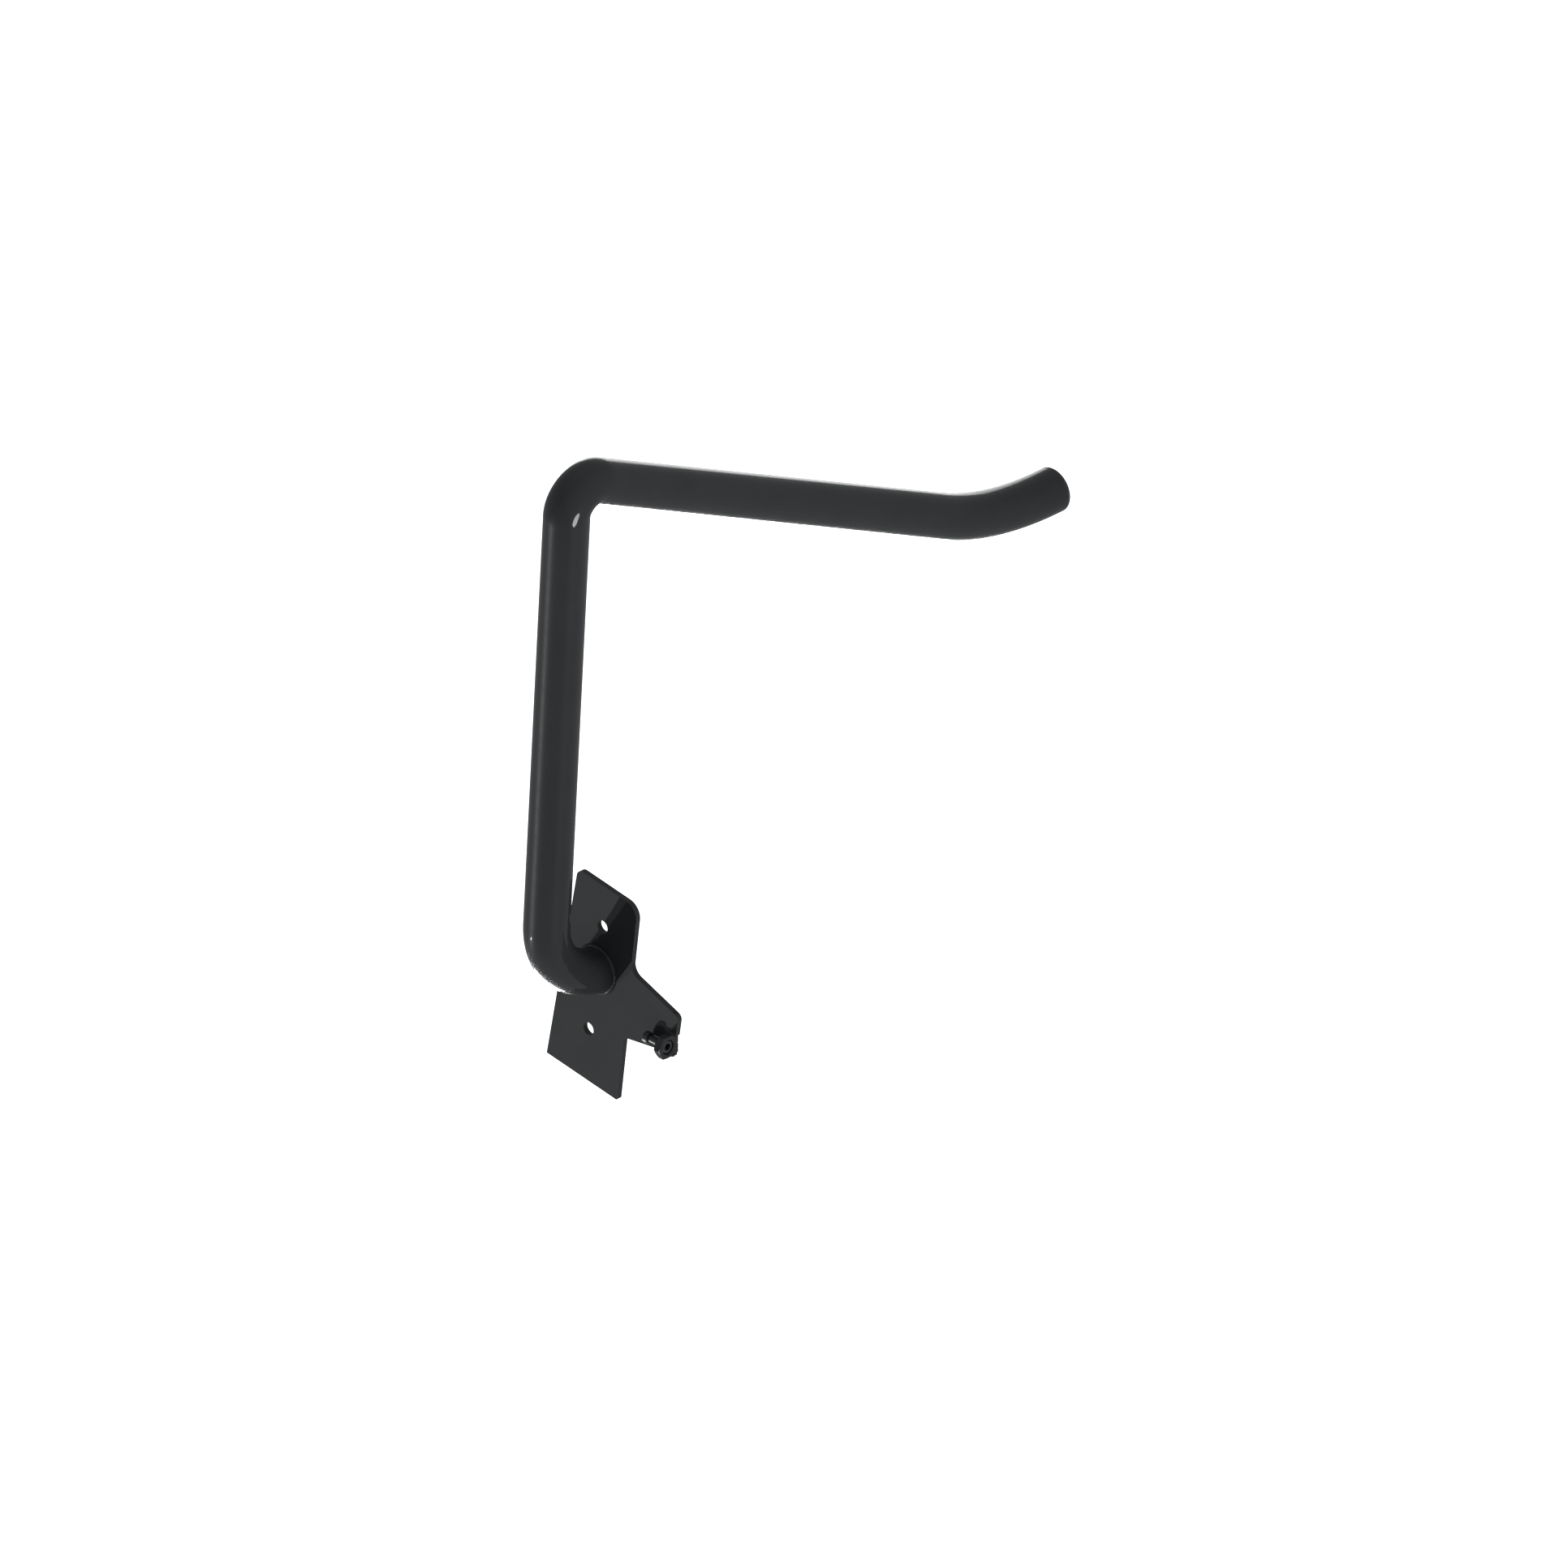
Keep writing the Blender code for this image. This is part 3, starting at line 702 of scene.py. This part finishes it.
class RAIL_OT_tube(bpy.types.Operator):
    """Model the bent, hollow tube of the rail"""

    bl_idname = "rail.tube"
    bl_label = "Rail tube"

    def execute(self, context):
        tube, plate = context.scene.rail_tube, context.scene.rail_plate
        redo("bent_tube")
        corners = tube_corners(tube, plate)
        deselect_all()
        bpy.ops.mesh.primitive_circle_add(
            vertices=tube.sides,
            radius=tube.diameter / 2,
            fill_type="NOTHING",
            location=(0.0, corners[0].x, corners[0].y),
            rotation=(RIGHT_ANGLE, 0.0, 0.0),
        )
        piece = named("bent_tube")
        apply_place(piece)
        with editing(piece):
            bpy.ops.mesh.select_all(action="SELECT")
            sweep(corners, [tube.lower_bend, tube.upper_bend, tube.tip_bend])
            above_stub = tube.stub_height + 2 * tube.diameter
            select_vertices(piece, lambda co: co.z < above_stub)
            bpy.ops.mesh.bisect(plane_co=(0, -plate.thickness, 0), plane_no=(0, 1, 0), clear_outer=True)
        tidy_normals(piece)
        apply_modifier(piece, "SOLIDIFY", thickness=tube.wall, offset=-1.0)
        install(piece, "rail", "rail_tube", "coated_steel", 50.0)
        return {"FINISHED"}


class RAIL_OT_stub_weld(bpy.types.Operator):
    """Lay the rippled weld bead round the tube's foot"""

    bl_idname = "rail.stub_weld"
    bl_label = "Stub weld"

    RING_STEPS = 460
    SECTION_STEPS = 20
    OFFSET_SHARE = 0.25
    SECTION_SHARE = 0.85
    RIPPLE_HEIGHT = 0.10
    DRIFT_HEIGHT = 0.05
    DRIFTS = 5

    def execute(self, context):
        tube, plate = context.scene.rail_tube, context.scene.rail_plate
        redo("stub_weld_bead")
        height, slope = stub_crossing(tube, plate)
        centre = Vector((0.0, -plate.thickness, height))
        ring_radius = tube.diameter / 2 + self.OFFSET_SHARE * tube.weld_leg
        deselect_all()
        bpy.ops.mesh.primitive_torus_add(
            major_segments=self.RING_STEPS,
            minor_segments=self.SECTION_STEPS,
            major_radius=ring_radius,
            minor_radius=self.SECTION_SHARE * tube.weld_leg,
            rotation=(RIGHT_ANGLE, 0.0, 0.0),
        )
        piece = named("stub_weld_bead")
        apply_place(piece)
        for vertex in piece.data.vertices:
            place = vertex.co
            angle = math.atan2(place.z, place.x)
            ripple = (angle * tube.weld_ripples / math.tau) % 1.0
            drift = self.DRIFT_HEIGHT * math.cos(self.DRIFTS * angle)
            swell = 1.0 + self.RIPPLE_HEIGHT * math.sqrt(ripple) - drift
            middle = Vector((math.cos(angle), 0.0, math.sin(angle))) * ring_radius
            vertex.co = centre + middle + (place - middle) * swell
            vertex.co.z = height + (vertex.co.z - height) / math.cos(slope)
        install(piece, "rail", "tube_weld", "coated_steel", 60.0)
        return {"FINISHED"}


class RAIL_OT_plate(bpy.types.Operator):
    """Model the hooked plate with its bolt holes and the nut's slot"""

    bl_idname = "rail.plate"
    bl_label = "Mounting plate"

    def execute(self, context):
        plate, clamp = context.scene.rail_plate, context.scene.rail_clamp
        redo("hooked_plate")
        outline = rounded_outline(plate_corners(plate))
        piece = outline_sheet("hooked_plate", [(x, -plate.thickness, z) for x, z in outline])
        thicken(piece, (0.0, plate.thickness, 0.0))
        for side in (1, -1):
            place = (0.0, -plate.thickness / 2, side * plate.hole_spacing / 2)
            hole_tool = rod("hole_tool", plate.hole_diameter / 2, 3 * plate.thickness, place)
            combine(piece, hole_tool, "DIFFERENCE")
        combine(piece, self.slot_tool(plate, clamp), "DIFFERENCE")
        round_edges(piece, plate.edge_round, 4, 50.0)
        install(piece, "rail", "mounting_plate", "coated_steel", 40.0)
        return {"FINISHED"}

    def slot_tool(self, plate, clamp):
        """Cuts the slot at the arm's end that lets the nut into the plate."""
        front = plate_face_from_axis(plate) - plate.thickness / 2
        half = slot_half_height(clamp, plate)
        reach = clamp.nut_thickness + SLOT_CLEARANCE
        corners = [(-reach, -half), (-reach, half), (reach, half), (reach, -half)]
        tool = outline_sheet("slot_tool", [(x, front, z) for x, z in corners])
        thicken(tool, (0.0, 3 * plate.thickness, 0.0))
        place_on_clamp(tool)
        return tool


class RAIL_OT_nut(bpy.types.Operator):
    """Model the hexagon nut at the arm's end"""

    bl_idname = "rail.nut"
    bl_label = "Clamp nut"

    CONE_STEPS = 120
    CHAMFER_ANGLE = math.radians(30)
    FACE_SHARE = 0.96
    EDGE_RADIUS = 0.25 * MM
    COUNTERSINK = 0.8 * MM
    GROOVE_DEPTH = 0.35 * MM

    def execute(self, context):
        clamp = context.scene.rail_clamp
        redo("hexagon_nut")
        thickness = clamp.nut_thickness
        piece = hexagon("hexagon_nut", clamp.nut_flats, -thickness, 0.0)
        slope = math.tan(self.CHAMFER_ANGLE)
        face = self.FACE_SHARE * clamp.nut_flats / 2
        waist = clamp.nut_flats / math.sqrt(3) + 0.3 * MM
        cone = [
            (-thickness - face * slope, 0.0),
            (-thickness + (waist - face) * slope, waist),
            (-(waist - face) * slope, waist),
            (face * slope, 0.0),
        ]
        combine(piece, turned("nut_cone", cone, self.CONE_STEPS), "INTERSECT")
        combine(piece, turned("nut_bore", self.bore_profile(clamp)), "DIFFERENCE")
        round_edges(piece, self.EDGE_RADIUS, 3, 40.0)
        place_on_clamp(piece)
        install(piece, "rail", "clamp_nut", "coated_steel", 40.0)
        return {"FINISHED"}

    def bore_profile(self, clamp):
        """A threaded bore as rings, with a countersink at each end."""
        radius, sink, inner = clamp.bore / 2, self.COUNTERSINK, -clamp.nut_thickness
        points = [(inner - sink, 0.0), (inner - sink, radius + 2 * sink), (inner + sink, radius)]
        threaded = clamp.nut_thickness - 2 * sink
        turns = int(threaded / clamp.pitch)
        for number in range(turns):
            low = inner + sink + number * threaded / turns
            points.append((low + 0.5 * clamp.pitch, radius + self.GROOVE_DEPTH))
            points.append((low + 0.9 * clamp.pitch, radius))
        return points + [(-sink, radius), (sink, radius + 2 * sink), (sink, 0.0)]


class RAIL_OT_nut_welds(bpy.types.Operator):
    """Lay the two welds that hold the nut and fill its slot in the plate"""

    bl_idname = "rail.nut_welds"
    bl_label = "Nut welds"

    START_SHARE = 0.94
    LENGTH_SHARE = 0.90
    STEPS = 36
    RIPPLES = 6
    RIPPLE_SHARE = 0.16
    ARC_STEPS = 8
    OVERLAP = 0.1 * MM
    BACK_MARGIN = 0.25 * MM

    def execute(self, context):
        clamp, plate = context.scene.rail_clamp, context.scene.rail_plate
        start = -self.START_SHARE * clamp.nut_thickness
        section = self.section(clamp, plate)
        for side, label in ((1, "upper"), (-1, "lower")):
            name = f"{label}_nut_bead"
            redo(name)
            piece = outline_sheet(name, [(start, y, side * z) for y, z in section])
            self.ripple(piece, clamp, start)
            place_on_clamp(piece)
            install(piece, "rail", f"{label}_nut_weld", "coated_steel", 50.0)
        return {"FINISHED"}

    def section(self, clamp, plate):
        """From the nut's flat over the bead, onto the plate and through its slot to the nut's corner."""
        face = plate_face_from_axis(plate)
        flat, corner = clamp.nut_flats / 2, clamp.nut_flats / math.sqrt(3)
        bead, sunk = clamp.nut_bead, self.OVERLAP
        slot = slot_half_height(clamp, plate)
        centre = Vector((face, flat))
        front = []
        for number in range(self.ARC_STEPS + 1):
            angle = RIGHT_ANGLE * number / self.ARC_STEPS
            front.append(centre + bead * Vector((-math.cos(angle), math.sin(angle))))
        back = face + plate.thickness - self.BACK_MARGIN
        return [
            (face - bead, flat - sunk),
            *front,
            (face + sunk, flat + bead),
            (face + sunk, slot + sunk),
            (back, slot + sunk),
            (back, math.sqrt(3) * max(corner - back, 0.0) + sunk),
            (corner / 2, flat - sunk),
        ]

    def ripple(self, piece, clamp, start):
        """Extrudes the section along the screw's axis, swelling and shrinking ripple by ripple."""
        along = self.LENGTH_SHARE * clamp.nut_thickness
        move = (along / self.STEPS, 0.0, 0.0)
        with editing(piece):
            bpy.ops.mesh.select_all(action="SELECT")
            for _ in range(self.STEPS):
                bpy.ops.mesh.extrude_region_move(TRANSFORM_OT_translate={"value": move})
        tidy_normals(piece)
        for vertex in piece.data.vertices:
            x, _, z = vertex.co
            share = self.RIPPLES * (x - start) / along % 1.0
            outside = max(0.0, abs(z) - clamp.nut_flats / 2)
            vertex.co.z = z - math.copysign(self.RIPPLE_SHARE * outside * share, z)


class RAIL_OT_screw(bpy.types.Operator):
    """Model the clamp screw with its thread, neck and hexagon socket"""

    bl_idname = "rail.screw"
    bl_label = "Clamp screw"

    ROWS = 64
    CHAMFER = 0.8 * MM
    NECK_FILLET = 0.4 * MM
    TIP_CHAMFER = 0.3 * MM
    FOOT_FLOOR_GAP = 1.1 * MM
    ROW_MARGIN = 0.05 * MM
    GROOVE_DEPTH_SHARE = 0.54
    FLANK_TOP = 1.25
    FLANK_SLOPE = 3.0

    def execute(self, context):
        clamp = context.scene.rail_clamp
        redo("threaded_screw")
        thread, neck = clamp.screw_diameter / 2, clamp.neck_diameter / 2
        head = -clamp.inset
        shoulder = head - clamp.thread_length
        tip = foot_back(clamp) - clamp.foot_length + self.FOOT_FLOOR_GAP
        chamfered = thread - self.CHAMFER
        rows_length = clamp.thread_length - 2 * self.ROW_MARGIN
        profile = [(head, 0.0), (head, chamfered)]
        for number in range(self.ROWS + 1):
            profile.append((head - self.ROW_MARGIN - rows_length * number / self.ROWS, thread))
        profile += [
            (shoulder, chamfered),
            (shoulder, neck + self.NECK_FILLET),
            (shoulder - self.NECK_FILLET, neck),
            (tip + self.TIP_CHAMFER, neck),
            (tip, neck - self.TIP_CHAMFER),
            (tip, 0.0),
        ]
        piece = turned("threaded_screw", profile)
        self.cut_thread(piece, clamp, head, shoulder)
        deep, high = head - clamp.socket_depth, head + clamp.socket_depth
        combine(piece, hexagon("socket_tool", clamp.socket_flats, deep, high), "DIFFERENCE")
        place_on_clamp(piece)
        install(piece, "screw", "clamp_screw", "blackened_steel", 35.0)
        return {"FINISHED"}

    def cut_thread(self, piece, clamp, head, shoulder):
        """Sinks a helical groove into the threaded part, with a chamfer at both ends."""
        crest = clamp.screw_diameter / 2
        depth = self.GROOVE_DEPTH_SHARE * clamp.pitch
        for vertex in piece.data.vertices:
            x, y, z = vertex.co
            radius = math.hypot(y, z)
            on_crest = radius > crest - 0.01 * MM
            if not on_crest or not shoulder < x < head:
                continue
            phase = (x / clamp.pitch - math.atan2(z, y) / math.tau) % 1.0
            groove = min(1.0, max(0.0, self.FLANK_TOP - abs(phase - 0.5) * self.FLANK_SLOPE))
            from_end = min(head - x, x - shoulder)
            ceiling = crest - max(0.0, self.CHAMFER - from_end)
            share = min(ceiling, crest - depth * groove) / radius
            vertex.co = (x, y * share, z * share)


class RAIL_OT_foot(bpy.types.Operator):
    """Model the swivelling pressure foot on the screw's neck"""

    bl_idname = "rail.foot"
    bl_label = "Pressure foot"

    FLOOR = 0.8 * MM
    NECK_CLEARANCE = 0.3 * MM
    GROOVE_RADIUS = 3.35 * MM
    GROOVE_HALF_WIDTH = 0.7 * MM

    def execute(self, context):
        clamp = context.scene.rail_clamp
        redo("swivel_foot")
        back = foot_back(clamp)
        front = back - clamp.foot_length
        radius, bore = clamp.foot_diameter / 2, clamp.neck_diameter / 2 + self.NECK_CLEARANCE
        middle = (back + front + self.FLOOR) / 2
        profile = [
            (front + self.FLOOR, 0.0),
            (front + self.FLOOR, bore),
            (middle - self.GROOVE_HALF_WIDTH, bore),
            (middle - self.GROOVE_HALF_WIDTH, self.GROOVE_RADIUS),
            (middle + self.GROOVE_HALF_WIDTH, self.GROOVE_RADIUS),
            (middle + self.GROOVE_HALF_WIDTH, bore),
            (back, bore),
            (back, radius - 0.6 * MM),
            (back - 0.15 * MM, radius - 0.2 * MM),
            (back - 0.5 * MM, radius),
            (front + 0.5 * MM, radius),
            (front + 0.15 * MM, radius - 0.2 * MM),
            (front, radius - 0.6 * MM),
            (front, 0.0),
        ]
        piece = turned("swivel_foot", profile)
        place_on_clamp(piece)
        install(piece, "foot", "pressure_foot", "blackened_steel", 30.0)
        return {"FINISHED"}


class RAIL_OT_snap_ring(bpy.types.Operator):
    """Model the split ring that holds the foot on the screw"""

    bl_idname = "rail.snap_ring"
    bl_label = "Snap ring"

    WIRE_RADIUS = 0.4 * MM
    SUNK_IN_NECK = 0.25 * MM
    HALF_OPENING = math.radians(30)

    def execute(self, context):
        clamp = context.scene.rail_clamp
        redo("split_ring")
        wire, half_gap = self.WIRE_RADIUS, self.HALF_OPENING
        radius = clamp.neck_diameter / 2 + wire - self.SUNK_IN_NECK
        middle = foot_back(clamp) - (clamp.foot_length - RAIL_OT_foot.FLOOR) / 2
        deselect_all()
        bpy.ops.mesh.primitive_circle_add(
            vertices=20,
            radius=wire,
            fill_type="NGON",
            location=(middle, radius * math.cos(half_gap), radius * math.sin(half_gap)),
            rotation=(half_gap, 0.0, 0.0),
        )
        piece = named("split_ring")
        apply_place(piece)
        with editing(piece):
            bpy.ops.mesh.select_all(action="SELECT")
            bpy.ops.mesh.spin(steps=72, angle=math.tau - 2 * half_gap, center=(0, 0, 0), axis=(1, 0, 0))
        tidy_normals(piece)
        place_on_clamp(piece)
        install(piece, "foot", "foot_snap_ring", "spring_steel", 40.0)
        return {"FINISHED"}


class RAIL_OT_end_plug(bpy.types.Operator):
    """Model the ribbed plug in the tube's free end"""

    bl_idname = "rail.end_plug"
    bl_label = "End plug"

    CORE_CLEARANCE = 2.0 * MM
    RIB_CLEARANCE = 0.3 * MM
    RIB_TAPER = 0.25 * MM
    RIM_STEPS = 12
    CROWN_STEPS = 8
    CROWN_HEIGHT = 0.25 * MM
    EDGE_CHAMFER = 0.25 * MM

    def execute(self, context):
        tube, plate, plug = context.scene.rail_tube, context.scene.rail_plate, context.scene.rail_plug
        redo("ribbed_plug")
        profile = self.ribbed_core(tube, plug) + self.flange(tube, plug)
        piece = turned("ribbed_plug", profile, tube.sides)
        tip = tube_corners(tube, plate)[-1]
        piece.rotation_euler = (0.0, 0.0, RIGHT_ANGLE)
        piece.location = (0.0, tip.x, tip.y)
        apply_place(piece)
        install(piece, "rail", "end_plug", "plug_plastic", 35.0)
        return {"FINISHED"}

    def ribbed_core(self, tube, plug):
        """From the plug's inner end out to the flange, with ribs that shrink towards that end."""
        bore = tube.diameter / 2 - tube.wall
        core, rib = bore - self.CORE_CLEARANCE, bore - self.RIB_CLEARANCE
        depth = (plug.ribs + 0.4) * plug.rib_pitch
        points = [(-depth, 0.0), (-depth, 0.8 * core), (-depth + 0.8 * MM, core)]
        for number in range(plug.ribs, 0, -1):
            foot = -number * plug.rib_pitch
            edge = rib - self.RIB_TAPER * number
            points += [(foot, core), (foot + 0.7 * MM, edge), (foot + 1.2 * MM, core)]
        return points + [(0.0, core)]

    def flange(self, tube, plug):
        """Over the flange's edge and its rounded rim, then along its crown to the axis."""
        radius = tube.diameter / 2
        points = [(0.0, radius - self.EDGE_CHAMFER), (self.EDGE_CHAMFER, radius)]
        for number in range(self.RIM_STEPS + 1):
            angle = RIGHT_ANGLE * number / self.RIM_STEPS
            reach = plug.flange - plug.rim_radius * (1 - math.sin(angle))
            points.append((reach, radius - plug.rim_radius * (1 - math.cos(angle))))
        for number in range(1, self.CROWN_STEPS + 1):
            share = 1 - number / self.CROWN_STEPS
            crown = plug.flange + self.CROWN_HEIGHT * (1 - share * share)
            points.append((crown, (radius - plug.rim_radius) * share))
        return points


# --- Stage -----------------------------------------------------------------------------------

# Directions of the view (right, up, back towards the viewer), the view's centre, and the directions
# that the lights come from.
VIEW_RIGHT = Vector((0.7030, 0.7025, 0.1102))
VIEW_UP = Vector((-0.4771, 0.3511, 0.8056))
VIEW_BACK = Vector((0.5274, -0.6190, 0.5821))
VIEW_CENTRE = 0.12379 * VIEW_RIGHT + 0.12882 * VIEW_UP
CAMERA_DISTANCE = 2.0
KEY_FROM = Vector((-0.437, -0.508, -0.742)).normalized()
FILL_FROM = Vector((0.90, -0.10, -0.42)).normalized()
GLINT_FROM = Vector((-0.42, 0.38, -0.82)).normalized()
RIM_FROM = (0.55 * VIEW_UP - VIEW_BACK).normalized()
RIM_DISTANCE = 2.0
RIM_SIZE = 1.0
OVERHEAD_PLACE = Vector((0.35, 0.1, 1.55))
OVERHEAD_SIZE = 1.6
RAIL_MIDDLE = Vector((0.0, 0.1, 0.2))


class RAIL_OT_stage(bpy.types.Operator):
    """Set up the floor, the lamps and the camera"""

    bl_idname = "rail.stage"
    bl_label = "Studio stage"

    def execute(self, context):
        stage = context.scene.rail_stage
        self.add_floor(stage)
        self.add_surround(context, stage)
        overhead = self.add_area("overhead_lamp", stage.top_lamp, OVERHEAD_SIZE, OVERHEAD_PLACE, RAIL_MIDDLE)
        overhead.visible_glossy = False
        self.add_sun("key_light", stage.key_light, stage.key_angle, KEY_FROM)
        self.add_sun("fill_light", stage.fill_light, stage.fill_angle, FILL_FROM)
        behind = RAIL_MIDDLE + RIM_DISTANCE * RIM_FROM
        rim_lamp = self.add_area("rim_lamp", stage.rim_lamp, RIM_SIZE, behind, RAIL_MIDDLE)
        glint = self.add_sun("glint_light", stage.glint_light, stage.glint_angle, GLINT_FROM)
        for lamp in (rim_lamp, glint):
            self.only_gloss_on_tube(lamp)
        self.add_camera(context, stage)
        context.scene.view_settings.view_transform = "Standard"
        return {"FINISHED"}

    def add_floor(self, stage):
        """A floor that the camera sees, and that neither lights nor shades the rail."""
        deselect_all()
        bpy.ops.mesh.primitive_grid_add(
            x_subdivisions=4, y_subdivisions=4, size=stage.floor_size, location=(0.0, 0.0, -stage.floor_depth)
        )
        floor = named("studio_floor")
        apply_place(floor)
        floor.data.materials.append(finish_for("floor"))
        floor.visible_shadow = False
        floor.visible_glossy = False
        floor.visible_diffuse = False

    def add_surround(self, context, stage):
        world = bpy.data.worlds.new("studio_surround")
        context.scene.world = world
        world.use_nodes = True
        background = world.node_tree.nodes["Background"]
        background.inputs["Color"].default_value = (0.97, 0.985, 1.0, 1.0)
        background.inputs["Strength"].default_value = stage.surround

    def add_area(self, name, power, size, place, aim):
        lamp = bpy.data.lights.new(name, "AREA")
        lamp.energy = power
        lamp.size = size
        holder = bpy.data.objects.new(name, lamp)
        holder.location = place
        holder.rotation_euler = (aim - place).to_track_quat("-Z", "Y").to_euler()
        holder.visible_camera = False
        bpy.context.scene.collection.objects.link(holder)
        return holder

    def add_sun(self, name, strength, angle, source):
        lamp = bpy.data.lights.new(name, "SUN")
        lamp.energy = strength
        lamp.angle = angle
        holder = bpy.data.objects.new(name, lamp)
        holder.rotation_euler = (-source).to_track_quat("-Z", "Y").to_euler()
        bpy.context.scene.collection.objects.link(holder)
        return holder

    def only_gloss_on_tube(self, lamp):
        """Leaves a lamp only its reflections on the tube."""
        lamp.visible_diffuse = False
        receivers = bpy.data.collections.new(f"{lamp.name}_receivers")
        receivers.objects.link(bpy.data.objects["bent_tube"])
        lamp.light_linking.receiver_collection = receivers

    def add_camera(self, context, stage):
        lens = bpy.data.cameras.new("view_camera")
        lens.type = "ORTHO"
        lens.ortho_scale = stage.view_width
        lens.clip_end = 50.0
        camera = bpy.data.objects.new("view_camera", lens)
        turn = Matrix((VIEW_RIGHT, VIEW_UP, VIEW_BACK)).transposed().to_quaternion().to_matrix().to_4x4()
        camera.matrix_world = Matrix.Translation(VIEW_CENTRE + CAMERA_DISTANCE * VIEW_BACK) @ turn
        context.scene.collection.objects.link(camera)
        context.scene.camera = camera


class RAIL_PT_panel(bpy.types.Panel):
    """Sizes, finishes and pieces of the bed assist rail"""

    bl_idname = "RAIL_PT_panel"
    bl_label = "Bed assist rail"
    bl_space_type = "VIEW_3D"
    bl_region_type = "UI"
    bl_category = "Bed rail"

    def draw(self, context):
        for group in SETTINGS:
            box = self.layout.box()
            box.label(text=group.replace("rail_", "").title())
            settings = getattr(context.scene, group)
            for name in settings.__annotations__:
                box.prop(settings, name)
        for operator in OPERATORS:
            self.layout.operator(operator.bl_idname)


SETTINGS = {
    "rail_tube": TubeSettings,
    "rail_plate": PlateSettings,
    "rail_clamp": ClampSettings,
    "rail_plug": PlugSettings,
    "rail_finishes": FinishSettings,
    "rail_stage": StageSettings,
}

OPERATORS = (
    RAIL_OT_tube,
    RAIL_OT_stub_weld,
    RAIL_OT_plate,
    RAIL_OT_nut,
    RAIL_OT_nut_welds,
    RAIL_OT_screw,
    RAIL_OT_foot,
    RAIL_OT_snap_ring,
    RAIL_OT_end_plug,
    RAIL_OT_stage,
)


def register():
    for group in SETTINGS.values():
        bpy.utils.register_class(group)
    for operator in OPERATORS:
        bpy.utils.register_class(operator)
    bpy.utils.register_class(RAIL_PT_panel)
    for name, group in SETTINGS.items():
        setattr(bpy.types.Scene, name, PointerProperty(type=group))


def unregister():
    for name in SETTINGS:
        delattr(bpy.types.Scene, name)
    bpy.utils.unregister_class(RAIL_PT_panel)
    for operator in reversed(OPERATORS):
        bpy.utils.unregister_class(operator)
    for group in reversed(list(SETTINGS.values())):
        bpy.utils.unregister_class(group)


def main():
    register()
    for operator in OPERATORS:
        group, name = operator.bl_idname.split(".")
        getattr(getattr(bpy.ops, group), name)()


if __name__ == "__main__":
    main()
